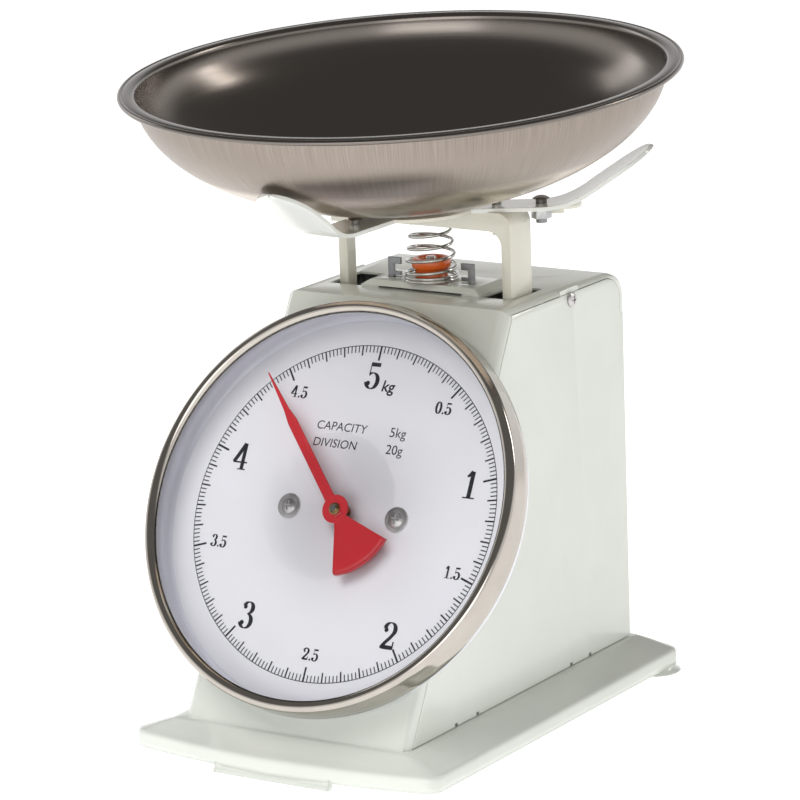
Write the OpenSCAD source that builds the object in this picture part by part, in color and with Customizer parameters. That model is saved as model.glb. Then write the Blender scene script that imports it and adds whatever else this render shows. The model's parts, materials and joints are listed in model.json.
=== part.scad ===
// Spring dial kitchen scale with a loose weighing bowl.
// Millimetres. +Z is up, the dial faces -Y, and the origin lies on the floor under the bowl's centre.

/* [Base] */
// Width of the pressed base tray
base_w = 158; // [140:1:190]
// Distance from the origin to the bowed front edge of the tray
base_front = 123.6; // [118:0.1:150]
// Distance from the origin to the rear edge of the tray
base_back = 101.5; // [98:0.5:130]
// How far the front edge bows forward between its corners
base_bow = 9; // [4:0.5:14]
// Radius of the tray's corners
base_corner_r = 6; // [3:0.5:12]
// Thickness of the tray's sheet
base_sheet = 1.2; // [0.8:0.1:2]
// Height of the tray's skirt
skirt_h = 7.5; // [5:0.5:12]
// Rise of the sloping top from the rim to the flat that carries the housing
crown_h = 5.3; // [2:0.1:8]
// Height of the feet below the skirt
foot_drop = 3; // [2:0.5:5]
// Width of the front foot
front_foot_w = 60; // [40:1:80]
// Radius of a rear foot where it meets the floor
rear_foot_r = 12; // [8:0.5:14]

/* [Housing] */
// Width of the housing
house_w = 117; // [105:1:128]
// Height of the housing above the tray
house_h = 174.4; // [170:0.1:195]
// Depth of the housing at the tray
house_d = 195; // [190:1:203]
// Distance from the origin to the housing's front bottom edge
house_front = 105; // [103:0.5:110]
// Lean of the dial side back from upright, in degrees
face_lean = 28.6; // [27:0.1:30]
// Thickness of the housing's sheet
sheet = 1; // [0.8:0.1:1.5]
// Outer radius of the bend at the top of the back
rear_bend_r = 14; // [8:0.5:20]
// Outer radius of the long edges of the leaning face and the top
edge_r = 5.5; // [4:0.5:8]
// Width of the front shell's edge in view along the leaning face
edge_strip = 4; // [3:0.5:7]
// Width of the front shell's edge in view along the top
top_strip = 2.4; // [2:0.2:5]
// Gap between the rear cover and the front shell's edge
seam_gap = 0.3; // [0.2:0.05:0.6]
// Depth of the inward flanges at the foot of the housing
foot_flange = 14; // [12:1:20]

/* [Post slots and spring bridge] */
// Width of a post slot
slot_w = 16.5; // [14:0.5:20]
// Gap between a post's outer face and its slot
slot_gap = 1.5; // [1:0.1:3]
// Length of a post slot behind the posts' front faces
slot_l = 26; // [24:0.5:32]
// Height of the spring bridge above the top panel
bridge_h = 3.2; // [2.5:0.1:5]
// Thickness of the bridge's sheet
bridge_sheet = 1.2; // [0.8:0.1:1.6]

/* [Dial] */
// Distance of the dial's centre up the leaning face
dial_up = 99.9; // [98:0.1:102]
// Outer radius of the bezel
bezel_r = 93.2; // [88:0.1:94]
// Thickness of the bezel's band
bezel_t = 1; // [0.8:0.1:1.4]
// Height of the bezel's front above the leaning face
bezel_h = 19; // [16:0.1:22]
// Height of the bezel's rear edge above the leaning face
bezel_rear = 5; // [3:0.5:7]
// Radius of the bezel's front roll
roll_r = 2.8; // [2:0.1:3.4]
// Thickness of the dial pan's sheet
pan_sheet = 1.2; // [0.8:0.1:1.6]
// Gap between the printed dial and the pan's wall
dial_margin = 2.9; // [1:0.1:6]
// Thickness of the printed dial
dial_t = 1; // [0.6:0.1:1.6]
// Thickness of the lens
lens_t = 1.5; // [1:0.1:2.5]
// Radius of the clear film at the lens's centre
film_r = 33; // [25:0.5:40]
// Distance of a dial screw from the dial's centre
dial_screw_x = 28; // [24:0.5:34]
// Radius of a dial screw's thread
dial_screw_r = 2; // [1.5:0.1:2.5]

/* [Pointer and gears] */
// Reach of the pointer's tip as a share of the printed dial's radius
pointer_share = 0.875; // [0.6:0.005:0.92]
// Radius of the pointer's fan-shaped tail
tail_reach = 29.5; // [24:0.5:34]
// Angle that the tail spans, in degrees
tail_angle = 58; // [40:1:70]
// Height of the pointer above the leaning face
pointer_w = 8; // [6:0.5:10]
// Thickness of the pointer
pointer_t = 0.8; // [0.5:0.1:1.2]
// Angle of the pointer at rest, to the left of the zero mark
pointer_rest = 41.6; // [0:0.1:60]
// Module of the rack and pinion
gear_m = 0.4; // [0.35:0.05:0.6]
// Teeth of the pinion
pinion_teeth = 12; // [10:1:16]
// Radius of the pointer shaft
shaft_r = 1.5; // [1.2:0.1:1.8]
// Running clearance of a shaft in its bush
run_fit = 0.05; // [0.03:0.01:0.08]

/* [Platform] */
// Distance from the middle to a post's outer face
post_x = 47; // [46.5:0.1:48]
// Width of the post frame's strap, front to back
post_w = 18; // [15:0.5:20]
// How far the left post's front stands behind the cross bar's
left_post_step = 5.5; // [4:0.5:7]
// Width of the left post, front to back
left_post_w = 11.6; // [10:0.1:12.5]
// Depth of the frame's flanges on the posts
post_flange = 4.5; // [3.5:0.5:7]
// Depth of the frame's flanges under the cross bar
beam_flange = 8.5; // [6:0.5:10]
// Thickness of the frame's sheet
post_sheet = 1.5; // [1.2:0.1:2]
// Height of the cross bar's top above the top panel
beam_rise = 38.4; // [36:0.1:50]
// Distance of the platform's centre line behind the origin
post_y = 20.5; // [19:0.5:22]
// Longest travel of the platform
travel = 13.5; // [10:0.1:14]

/* [Bowl cradle] */
// Distance of the cradle's centre behind the origin
cradle_y = 3; // [0:0.5:6]
// Width of a cradle arm
arm_w = 21; // [16:0.5:24]
// Width of a cradle arm's raised blade
blade_w = 27; // [24:0.5:30]
// Length over which the blade keeps its full width before its round tip
blade_run = 10; // [4:1:16]
// Slope of the raised blade, in degrees
blade_slope = 33.4; // [25:0.1:34]
// Thickness of a cradle arm
arm_t = 2; // [1.5:0.1:2.5]
// Length of an arm's flat part from the cradle's centre
arm_flat = 58; // [56:0.5:62]
// Radius of the arm's upward bend
arm_bend_r = 38; // [30:1:44]
// Reach of an arm from the cradle's centre
arm_reach = 107.5; // [95:0.5:108]
// Thickness of the plate under the arms
cradle_sheet = 1.5; // [1:0.1:2]
// Distance of the outer arm bolts from the cradle's centre
arm_bolt_r = 59; // [54:0.5:62]
// Distance of the front arm's rivet from the cradle's centre
rivet_r = 44; // [38:0.5:46]

/* [Bowl] */
// Radius of the bowl's rim
bowl_r = 125; // [118:0.5:135]
// Radius of the bowl's body just under its rim
bowl_body_r = 118; // [110:0.5:122]
// Depth of the bowl
bowl_depth = 58.7; // [52:0.1:70]
// Thickness of the bowl's sheet
bowl_sheet = 0.8; // [0.6:0.1:1.2]
// Radius of the rolled bead at the bowl's edge
bowl_bead_r = 1.2; // [0.9:0.1:1.6]
// Lean of the loose bowl towards the dial side, in degrees
bowl_lean = 4; // [0:0.5:4]

/* [Zero adjuster and springs] */
// Radius of the adjusting knob's rim
knob_r = 8.8; // [7:0.1:10]
// Radius of the adjusting knob's waist
knob_waist_r = 7.2; // [6:0.1:8]
// Height of the adjusting knob
knob_h = 10.4; // [8:0.1:11]
// Radius of the threaded stud
stud_r = 2.5; // [2:0.1:3]
// Distance of a hanger ear from the middle
ear_x = 19.3; // [18:0.1:20]
// Height of a hanger ear above the bridge
ear_h = 9; // [7:0.5:11]
// Thickness of the hanger plate
hanger_t = 2; // [1.5:0.1:2.5]
// Radius of the buffer spring's lowest coil
buffer_r = 12; // [10.5:0.1:13]
// Radius of the buffer spring's highest coil
buffer_top_r = 8.2; // [7:0.1:9]
// Radius of the buffer spring's wire
buffer_wire_r = 0.75; // [0.6:0.05:0.9]
// Distance of a main spring from the middle
spring_x = 24; // [22:0.5:28]
// Radius of a main spring's coils
spring_r = 7; // [5:0.5:8]
// Radius of a main spring's wire
spring_wire_r = 0.8; // [0.6:0.05:1]

/* [Hidden] */
$fn = 64;
eps = 0.01;

// Heights of the tray
skirt_top = foot_drop + skirt_h;
seat_z = skirt_top + crown_h;
top_z = seat_z + house_h;
beam_top = top_z + beam_rise;
seat_margin = 3;

// Side outline of the housing
house_back = house_d - house_front;
back_seam_z = top_z - rear_bend_r - 6;
slot_front_y = post_y - post_w / 2 - 1;
slot_in_x = post_x + slot_gap - slot_w;

// The leaning face: x across, y up the face, z out of it, with its origin at the dial's centre
dial_y = -house_front + dial_up * sin(face_lean);
dial_z = seat_z + dial_up * cos(face_lean);
pan_r = bezel_r - bezel_t - 0.1;
dial_r = pan_r - pan_sheet - dial_margin;
pointer_reach = pointer_share * dial_r;
roll_w = bezel_h - roll_r;
lens_top = roll_w - 0.1;
seal_t = 1;
pan_h = lens_top - lens_t - seal_t;
dial_top = pan_sheet + dial_t;
screw_head_t = 2;

// Movement behind the face
plate_t = 1.5;
movement_gap = 20.5;
front_plate_w = -sheet - plate_t;
back_plate_w = front_plate_w - movement_gap - plate_t;
plate_half_x = 36;
plate_half_y = 25;
pillar_r = 3;
pillar_x = 31;
pillar_y = 20;
bush_r = 3.5;
bush_flange_r = 5;
bush_flange_t = 1;
pitch_r = gear_m * pinion_teeth / 2;
pinion_w = -16.5;
pinion_t = 5;
rack_t = 4;
rack_w = pinion_w + (pinion_t - rack_t) / 2;
rack_back = 4;
rack_top = 21;
rack_link_y = -45;
rack_tooth_low = -5;
rack_pin_r = 1.5;
rack_travel = travel / cos(face_lean);
link_slide = travel * tan(face_lean);
guide_sleeve_r = 2.5;
guide_gap = 0.35;

// The rack pin's place in the object's own frame
pin_w = rack_w + rack_t / 2;
pin_y = dial_y + rack_link_y * sin(face_lean) - pin_w * cos(face_lean);
pin_z = dial_z + rack_link_y * cos(face_lean) + pin_w * sin(face_lean);

// Platform inside the housing
yoke_t = 2.5;
yoke_z = pin_z + 4;
yoke_w = 16;
yoke_end_h = 14;
post_low = yoke_z - 2;
yoke_fit = 0.2;
yoke_screw_z = yoke_z + yoke_t + 6;
tongue_w = 12;
ear_plate_x = pitch_r + rack_back + 2;
ear_plate_t = 2;
bumper_top = yoke_z - travel - 0.5;
guide_z = seat_z + 96;
guide_block_h = 16;
guide_clear = 0.35;
bracket_t = 2;

// Hanger, bridge and springs
bridge_z = top_z + bridge_h;
bridge_x = slot_in_x - 0.8;
bridge_front = slot_front_y - 0.6;
bridge_back = slot_front_y + slot_l;
hanger_z = top_z - sheet - 9;
lug_t = 1.5;
lug_hole_r = 2;
ear_gap = 1;
lug_drop = 4.5;
ring_r = 2.6;
lug_hole_z = hanger_z - lug_drop;
yoke_hole_z = yoke_z + yoke_t + lug_drop;
knob_gap = 0.1;
buffer_base = bridge_z + buffer_wire_r + 0.05;
buffer_top = beam_top - beam_flange - buffer_wire_r - 0.05;
buffer_closed_turns = 2;
buffer_open_turns = 4;
main_turns = 13;
main_coil_h = 62;
spring_mid_z = (lug_hole_z + yoke_hole_z) / 2;

// Cradle heights
plate_top = beam_top + cradle_sheet;
arm_z = plate_top;
arm_top = arm_z + arm_t;
platform_screw_x = post_x - 13;
platform_screw_y = cradle_y + platform_screw_x * tan(30);
bolt_r = 2.5;
nut_af = 8;
nut_h = 4;

// Bowl
bowl_gap = 0.45;
bowl_bottom = arm_top + bowl_gap;
rim_z = bowl_bottom + bowl_depth;
bowl_steps = 28;

// ---- Shared shapes ----

// Places its children on the leaning face.
module on_face() {
  translate([0, dial_y, dial_z]) rotate([90 - face_lean, 0, 0]) children();
}

// Places its children on a cradle arm that points in a direction given in degrees from +X.
module on_arm(direction) {
  translate([0, cradle_y, 0]) rotate([0, 0, direction]) children();
}

// A pan-head screw with its head's underside at z = 0 and its shank going down.
module pan_screw(head_r, head_h, thread_r, length) {
  difference() {
    union() {
      rotate_extrude() {
        intersection() {
          translate([0, head_h - head_r * 1.6]) circle(r = head_r * 1.6);
          square([head_r, head_h]);
        }
      }
      translate([0, 0, -length]) cylinder(r = thread_r, h = length + eps);
    }
    for (turn = [0, 90]) {
      rotate([0, 0, turn]) {
        translate([-head_r * 0.55, -head_r * 0.11, head_h * 0.45]) {
          cube([head_r * 1.1, head_r * 0.22, head_h]);
        }
      }
    }
  }
}

// A hexagon nut with its lower face at z = 0.
module hex_nut(across_flats, height, bore_r) {
  difference() {
    cylinder(r = across_flats / sqrt(3), h = height, $fn = 6);
    translate([0, 0, -1]) cylinder(r = bore_r, h = height + 2);
  }
}

// A tube swept along a list of rings, each ring a list of points, closed at both ends.
module ring_sweep(rings) {
  sides = len(rings[0]);
  count = len(rings);
  polyhedron(
    points = [for (ring = rings) for (p = ring) p],
    faces = concat(
      [[for (k = [sides - 1 : -1 : 0]) k]],
      [for (i = [0 : count - 2]) for (k = [0 : sides - 1])
        let (a = i * sides + k, b = i * sides + (k + 1) % sides)
        [a, b, b + sides, a + sides]],
      [[for (k = [0 : sides - 1]) (count - 1) * sides + k]]
    )
  );
}

// Ring of wire at an angle around the Z axis: coil radius r, height z, wire radius w.
function wire_ring(angle, r, z, w, sides) = [
  for (k = [0 : sides - 1])
    let (a = 360 * k / sides)
    [(r + w * cos(a)) * cos(angle), (r + w * cos(a)) * sin(angle), z + w * sin(a)]
];

// ---- Base ----

// Plan outline of the tray: a bowed front edge and round corners.
module base_outline() {
  half = base_w / 2;
  steps = 12;
  offset(r = base_corner_r) offset(delta = -base_corner_r) {
    polygon(concat(
      [for (i = [-steps : steps]) let (x = half * i / steps)
        [x, -base_front + base_bow * pow(i / steps, 2)]],
      [[half, base_back], [-half, base_back]]
    ));
  }
}

// The tray as a closed lump, shrunk on all sides by an inset.
module base_lump(inset) {
  hull() {
    translate([0, 0, foot_drop - (inset > 0 ? 1 : 0)]) {
      linear_extrude(skirt_h - inset + (inset > 0 ? 1 : 0)) offset(delta = -inset) base_outline();
    }
    translate([-house_w / 2 - seat_margin + inset, -house_front - seat_margin + inset, 0]) {
      cube([house_w + 2 * (seat_margin - inset), house_d + 2 * (seat_margin - inset), seat_z - inset]);
    }
  }
}

// Four places where screws hold the housing down on the tray.
module base_screw_places() {
  for (x = [-1, 1]) {
    for (y = [-house_front + foot_flange / 2 + 2, house_back - foot_flange / 2 - 1]) {
      translate([x * (house_w / 2 - 18), y, seat_z]) children();
    }
  }
}

module base_plate() {
  color("ivory") difference() {
    union() {
      difference() {
        intersection() {
          base_lump(0);
          translate([0, 0, foot_drop]) linear_extrude(seat_z) offset(delta = 1) base_outline();
        }
        base_lump(base_sheet);
      }
      // Front foot: a lip turned down and out from the skirt
      translate([-front_foot_w / 2, 0, 0]) rotate([90, 0, 90]) linear_extrude(front_foot_w) {
        polygon([
          [-base_front + 1, foot_drop + 1], [-base_front - 1.2, 0],
          [-base_front + 3.6, 0], [-base_front + 3.6, foot_drop + 1]
        ]);
      }
      // Rear feet: flared cups under the corners
      for (x = [-1, 1]) {
        translate([x * (base_w / 2 - rear_foot_r + 3), base_back - rear_foot_r + 3, 0]) {
          rotate_extrude() {
            polygon([
              [rear_foot_r - 4.2, 0], [rear_foot_r, 0],
              [rear_foot_r - 3.2, foot_drop + 1], [rear_foot_r - 4.2, foot_drop + 1]
            ]);
          }
        }
      }
    }
    base_screw_places() translate([0, 0, -5]) cylinder(r = bolt_r + 0.3, h = 10);
  }
}

module base_screws() {
  color("silver") base_screw_places() {
    translate([0, 0, -base_sheet - 0.02]) rotate([180, 0, 0]) pan_screw(4, 2.4, bolt_r, 6);
  }
}

// ---- Housing ----

// Side outline of the housing, shrunk by separate insets at its front, top, back and foot.
module side_outline(front, top, back, foot) {
  z_foot = seat_z + foot;
  z_top = top_z - top;
  y_back = house_back - back;
  bend = max(rear_bend_r - max(top, back), 0.5);
  y_edge = -house_front + front / cos(face_lean);
  union() {
    polygon([
      [y_edge + foot * tan(face_lean), z_foot], [y_back, z_foot],
      [y_back, z_top - bend], [y_back - bend, z_top],
      [y_edge + (house_h - top) * tan(face_lean), z_top]
    ]);
    translate([y_back - bend, z_top - bend]) intersection() {
      circle(r = bend);
      square(bend);
    }
  }
}

// Extrudes a side outline across the housing, centred, over a width.
module across(width) {
  translate([-width / 2, 0, 0]) rotate([90, 0, 90]) linear_extrude(width) children();
}

// The region inside the housing's rounded long edges, along the top and along the leaning face,
// shrunk by an inset.
module edge_limits(inset) {
  half = house_w / 2 - inset;
  r = edge_r - inset;
  intersection() {
    translate([0, house_d, 0]) rotate([90, 0, 0]) linear_extrude(2 * house_d) {
      round_topped(half, top_z - inset, r);
    }
    translate([0, -house_front, seat_z]) rotate([-face_lean, 0, 0]) {
      translate([0, 0, -house_h]) linear_extrude(3 * house_h) mirror([0, 1]) {
        translate([0, -2 * house_d]) round_topped(half, 2 * house_d - inset, r);
      }
    }
  }
}

// A rectangle from the X axis up, centred, with its two upper corners rounded.
module round_topped(half, height, r) {
  union() {
    translate([-half, 0]) square([2 * half, height - r]);
    translate([-half + r, 0]) square([2 * (half - r), height]);
    for (x = [-1, 1]) {
      translate([x * (half - r), height - r]) circle(r = r);
    }
  }
}

// Openings in the top panel for the posts, the hanger's ears and the adjuster's stud.
module top_openings() {
  for (x = [slot_in_x, -slot_in_x - slot_w]) {
    translate([x, slot_front_y, top_z - 5]) cube([slot_w, slot_l, 10]);
  }
  stud_and_ear_holes();
}

// Holes for the stud and the hanger's ears, cut through the top panel and the bridge alike.
module stud_and_ear_holes() {
  translate([0, post_y, top_z - 5]) cylinder(r = stud_r + 0.5, h = 20);
  for (x = [-1, 1]) {
    translate([x * ear_x - 4, post_y - 1.5, top_z - 5]) cube([8, 3, 20]);
  }
}

// Places a child at each side screw, with z pointing out of the housing's side.
module side_screw_places() {
  for (x = [-1, 1]) {
    translate([x * house_w / 2, house_back - 46, top_z - 5.5]) rotate([0, x * 90, 0]) children();
  }
}

module front_shell() {
  color("ivory") difference() {
    union() {
      difference() {
        intersection() {
          across(house_w) side_outline(0, 0, 0, 0);
          edge_limits(0);
        }
        intersection() {
          across(house_w - 2 * sheet) side_outline(sheet, sheet, sheet, -5);
          edge_limits(sheet);
        }
        // Each side is open behind the edge strip
        for (x = [-1, 1]) {
          translate([x * house_w / 2, 0, 0]) across(8 * sheet) {
            side_outline(edge_strip, top_strip, top_strip, -5);
          }
        }
        // The back is open below the bend
        translate([-house_w, house_back - rear_bend_r, 0]) {
          cube([2 * house_w, 60, back_seam_z]);
        }
      }
      // Inner tabs that take the side screws
      for (x = [-1, 1]) {
        translate([x * (house_w / 2 - 1.5 * sheet - 0.05) - sheet / 2, house_back - 54, top_z - 11]) {
          cube([sheet, 16, 11 - sheet / 2]);
        }
      }
      // Foot flange, bent inwards along the front
      translate([-house_w / 2 + 2 * sheet, -house_front + sheet / 2, seat_z]) {
        cube([house_w - 4 * sheet, foot_flange, sheet]);
      }
    }
    top_openings();
    on_face() {
      translate([0, 0, -3]) cylinder(r = 8, h = 6);
      for (x = [-1, 1]) {
        translate([x * dial_screw_x, 0, -3]) cylinder(r = dial_screw_r + 0.2, h = 6);
      }
    }
    side_screw_places() translate([0, 0, -5]) cylinder(r = 1.7, h = 10);
    base_screw_places() translate([0, 0, -1]) cylinder(r = bolt_r + 0.05, h = 4);
  }
}

module rear_cover() {
  notch_w = 2.4;
  notch_h = 1.4;
  color("ivory") difference() {
    union() {
      difference() {
        intersection() {
          across(house_w) {
            side_outline(edge_strip + seam_gap, top_strip + seam_gap, top_strip + seam_gap, 0.4);
            intersection() {
              side_outline(edge_strip + seam_gap, top_strip + seam_gap, 0, 0.4);
              translate([-house_front, 0]) square([2 * house_d, back_seam_z - seam_gap]);
            }
          }
          edge_limits(0);
        }
        intersection() {
          across(house_w - 2 * sheet) side_outline(-10, -10, sheet, -20);
          union() {
            edge_limits(sheet);
            translate([-house_w / 2 + edge_r, -house_front, 0]) cube([house_w - 2 * edge_r, house_d, 2 * top_z]);
          }
        }
        // The back wall ends under the front shell's bend
        translate([-house_w / 2 + sheet, 0, back_seam_z - seam_gap]) {
          cube([house_w - 2 * sheet, house_d, house_h]);
        }
      }
      // Foot flange, bent inwards along the back
      translate([-house_w / 2 + 2 * sheet, house_back - foot_flange, seat_z]) {
        cube([house_w - 4 * sheet, foot_flange - sheet / 2, sheet]);
      }
    }
    // Notches beside the tabs along each side's foot
    for (x = [-1, 1]) {
      for (y = [-64, -46, 36, 53]) {
        translate([x * house_w / 2 - 3, y - notch_w / 2, seat_z]) cube([6, notch_w, notch_h + 0.4]);
      }
    }
    side_screw_places() translate([0, 0, -5]) cylinder(r = 2.1, h = 10);
    base_screw_places() translate([0, 0, -1]) cylinder(r = bolt_r + 0.05, h = 4);
  }
}

module cover_screws() {
  color("silver") side_screw_places() translate([0, 0, 0.02]) pan_screw(3.4, 1.8, 1.65, 4);
}

module spring_bridge() {
  side_step = 4;
  color("ivory") difference() {
    bridge_lump(0, side_step);
    bridge_lump(bridge_sheet, side_step);
    stud_and_ear_holes();
    // Shallow opening along the foot of the front side
    translate([-22, bridge_front - 1, top_z - 1]) cube([44, 5, 1.7]);
  }
}

// The bridge as a closed lump with sloping sides, lowered and shrunk by an inset.
module bridge_lump(inset, side_step) {
  depth = bridge_back - bridge_front;
  hull() {
    translate([-bridge_x + inset, bridge_front + inset, top_z - (inset > 0 ? 1 : 0)]) {
      cube([2 * (bridge_x - inset), depth - 2 * inset, 0.8]);
    }
    translate([-bridge_x + side_step + inset, bridge_front + 2 + inset, top_z]) {
      cube([2 * (bridge_x - side_step - inset), depth - 4 - 2 * inset, bridge_h - inset]);
    }
  }
}

// ---- Dial ----

module dial_pan() {
  color("lavender") on_face() difference() {
    cylinder(r = pan_r, h = pan_h, $fn = 128);
    translate([0, 0, pan_sheet]) cylinder(r = pan_r - pan_sheet, h = pan_h, $fn = 128);
    dial_holes();
  }
}

// The centre hole and the two screw holes shared by the pan and the printed dial.
module dial_holes() {
  translate([0, 0, -1]) cylinder(r = 4, h = dial_top + 2);
  for (x = [-1, 1]) {
    translate([x * dial_screw_x, 0, -1]) cylinder(r = dial_screw_r + 0.2, h = dial_top + 2);
  }
}

module dial_face() {
  color("white") on_face() difference() {
    translate([0, 0, pan_sheet]) cylinder(r = dial_r, h = dial_t, $fn = 128);
    dial_holes();
  }
}

module dial_screws() {
  length = dial_top - front_plate_w + 3.4;
  color("silver") on_face() for (x = [-1, 1]) {
    translate([x * dial_screw_x, 0, dial_top + 0.02]) {
      cylinder(r = 5.6, h = 0.8);
      translate([0, 0, 0.8 - eps]) pan_screw(3.8, screw_head_t - 0.8, dial_screw_r, length);
    }
  }
}

module dial_nuts() {
  color("silver") on_face() for (x = [-1, 1]) {
    translate([x * dial_screw_x, 0, front_plate_w - 2.6]) hex_nut(7, 2.5, dial_screw_r + 0.05);
  }
}

module bezel() {
  color("lightgray") on_face() rotate_extrude($fn = 128) {
    translate([bezel_r - bezel_t, bezel_rear]) square([bezel_t, roll_w - bezel_rear]);
    translate([bezel_r - roll_r, roll_w]) intersection() {
      circle(r = roll_r, $fn = 32);
      translate([-roll_r, 0]) square([2 * roll_r, roll_r]);
    }
  }
}

module lens() {
  color([0.85, 0.9, 0.95, 0.3]) on_face() translate([0, 0, lens_top - lens_t]) {
    cylinder(r = pan_r - 0.6, h = lens_t, $fn = 128);
  }
}

module lens_film() {
  color([0.9, 0.9, 0.9, 0.4]) on_face() translate([0, 0, lens_top - lens_t - 0.2]) {
    cylinder(r = film_r, h = 0.19);
  }
}

module lens_seal() {
  color("dimgray") on_face() translate([0, 0, pan_h]) difference() {
    cylinder(r = pan_r, h = seal_t - 0.01, $fn = 128);
    translate([0, 0, -1]) cylinder(r = pan_r - 2.4, h = seal_t + 2, $fn = 128);
  }
}

// ---- Movement ----

// A movement plate with its lower face at w, bored for a bush at its centre.
module movement_plate(w) {
  difference() {
    translate([-plate_half_x, -plate_half_y, w]) cube([2 * plate_half_x, 2 * plate_half_y, plate_t]);
    translate([0, 0, w - 1]) cylinder(r = bush_r, h = plate_t + 2);
    for (x = [-1, 1]) {
      for (y = [-1, 1]) {
        translate([x * pillar_x, y * pillar_y, w - 1]) cylinder(r = 1.5, h = plate_t + 2);
      }
      translate([x * dial_screw_x, 0, w - 1]) cylinder(r = dial_screw_r + 0.1, h = plate_t + 2);
    }
  }
}

module movement_front_plate() {
  color("gainsboro") on_face() movement_plate(front_plate_w);
}

module movement_back_plate() {
  color("gainsboro") on_face() movement_plate(back_plate_w);
}

module movement_pillars() {
  color("gray") on_face() for (x = [-1, 1]) {
    for (y = [-1, 1]) {
      translate([x * pillar_x, y * pillar_y, back_plate_w + plate_t]) {
        cylinder(r = pillar_r, h = movement_gap);
        translate([0, 0, -plate_t]) cylinder(r = 1.45, h = movement_gap + 2 * plate_t);
      }
    }
  }
}

// A flanged bush that fills a plate's centre hole, with its flange on the plate's inner side.
module bush(plate_w, side) {
  flange_w = side > 0 ? plate_w + plate_t : plate_w - bush_flange_t;
  color("goldenrod") on_face() difference() {
    union() {
      translate([0, 0, plate_w]) cylinder(r = bush_r, h = plate_t);
      translate([0, 0, flange_w]) cylinder(r = bush_flange_r, h = bush_flange_t);
    }
    translate([0, 0, plate_w - 3]) cylinder(r = shaft_r + run_fit, h = 8);
  }
}

module front_bush() {
  bush(front_plate_w, -1);
}

module back_bush() {
  bush(back_plate_w, 1);
}

module rack_guides() {
  x = pitch_r + rack_back + guide_gap + guide_sleeve_r;
  color("whitesmoke") on_face() for (y = [-12, 14]) {
    translate([x, y, back_plate_w + plate_t]) cylinder(r = guide_sleeve_r, h = movement_gap);
  }
}

module pointer_shaft() {
  low = back_plate_w - 1.5;
  high = pointer_w + pointer_t + 2.2;
  color("silver") on_face() translate([0, 0, low]) cylinder(r = shaft_r, h = high - low);
}

// Outline of a pinion tooth space cut, pointing out from the origin along +X.
module tooth_space(root_r, outer_r, half_root, half_outer) {
  polygon([
    [root_r, -half_root], [outer_r, -half_outer], [outer_r, half_outer], [root_r, half_root]
  ]);
}

module pinion() {
  outer_r = pitch_r + 0.8 * gear_m;
  root_r = pitch_r - 1.15 * gear_m;
  pitch_len = PI * gear_m;
  color("goldenrod") on_face() translate([0, 0, pinion_w]) difference() {
    cylinder(r = outer_r, h = pinion_t);
    translate([0, 0, -1]) cylinder(r = shaft_r, h = pinion_t + 2);
    // A space faces the rack's first tooth at +X
    for (i = [0 : pinion_teeth - 1]) {
      rotate([0, 0, 360 * i / pinion_teeth]) translate([0, 0, -1]) linear_extrude(pinion_t + 2) {
        tooth_space(root_r, outer_r + 0.2, pitch_len * 0.17, pitch_len * 0.43);
      }
    }
  }
}

module rack() {
  pitch_len = PI * gear_m;
  tip_x = pitch_r - 0.75 * gear_m;
  root_x = pitch_r + 1.2 * gear_m;
  first = ceil(rack_tooth_low / pitch_len);
  last = floor((rack_top - 1) / pitch_len);
  color("silver") on_face() difference() {
    union() {
      translate([root_x, rack_link_y - 4, rack_w]) {
        cube([pitch_r + rack_back - root_x, rack_top - rack_link_y + 4, rack_t]);
      }
      for (i = [first : last]) {
        translate([0, i * pitch_len, rack_w]) linear_extrude(rack_t) {
          polygon([
            [root_x + 0.1, -pitch_len * 0.36], [root_x + 0.1, pitch_len * 0.36],
            [tip_x, pitch_len * 0.11], [tip_x, -pitch_len * 0.11]
          ]);
        }
      }
    }
    translate([0, rack_link_y, pin_w]) rotate([0, 90, 0]) cylinder(r = rack_pin_r, h = 20);
  }
}

module rack_pin() {
  x_low = pitch_r + 1.2 * gear_m;
  color("gray") translate([x_low, pin_y, pin_z]) rotate([0, 90, 0]) {
    cylinder(r = rack_pin_r, h = ear_plate_x + ear_plate_t + 1.2 - x_low);
    translate([0, 0, ear_plate_x + ear_plate_t + 0.4 - x_low]) cylinder(r = 2.4, h = 0.9);
  }
}

// The pointer's outline at rest: a slim tip, a shoulder, a stem, a hub disc and a fan-shaped tail.
module pointer_outline() {
  hub_r = 6.4;
  stem = 2.3;
  shoulder_y = pointer_reach * 0.66;
  half = tail_angle / 2;
  rotate(pointer_rest) union() {
    circle(r = hub_r);
    polygon([
      [-stem, 0], [stem, 0], [stem, shoulder_y - 8], [1.3, shoulder_y + 6], [0.25, pointer_reach],
      [-0.25, pointer_reach], [-1.3, shoulder_y + 6], [-stem, shoulder_y - 8]
    ]);
    intersection() {
      circle(r = tail_reach);
      polygon([
        [0, 0], [-2 * tail_reach * sin(half), -2 * tail_reach * cos(half)],
        [2 * tail_reach * sin(half), -2 * tail_reach * cos(half)]
      ]);
    }
  }
}

module pointer() {
  color("crimson") on_face() translate([0, 0, pointer_w]) difference() {
    linear_extrude(pointer_t) pointer_outline();
    translate([0, 0, -1]) cylinder(r = shaft_r, h = pointer_t + 2);
  }
}

module pointer_boss() {
  color("goldenrod") on_face() difference() {
    union() {
      translate([0, 0, pointer_w - 3]) cylinder(r = 3.4, h = 3);
      translate([0, 0, pointer_w + pointer_t]) cylinder(r = 2.7, h = 1.2);
    }
    translate([0, 0, pointer_w - 4]) cylinder(r = shaft_r, h = 8);
  }
}

// ---- Platform ----

// Front outline of the post frame's band, a given width in from its outer edge.
module frame_band(post_band, beam_band, corner) {
  difference() {
    frame_outline(0, 0, 6);
    frame_outline(post_band, beam_band, corner);
  }
}

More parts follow.
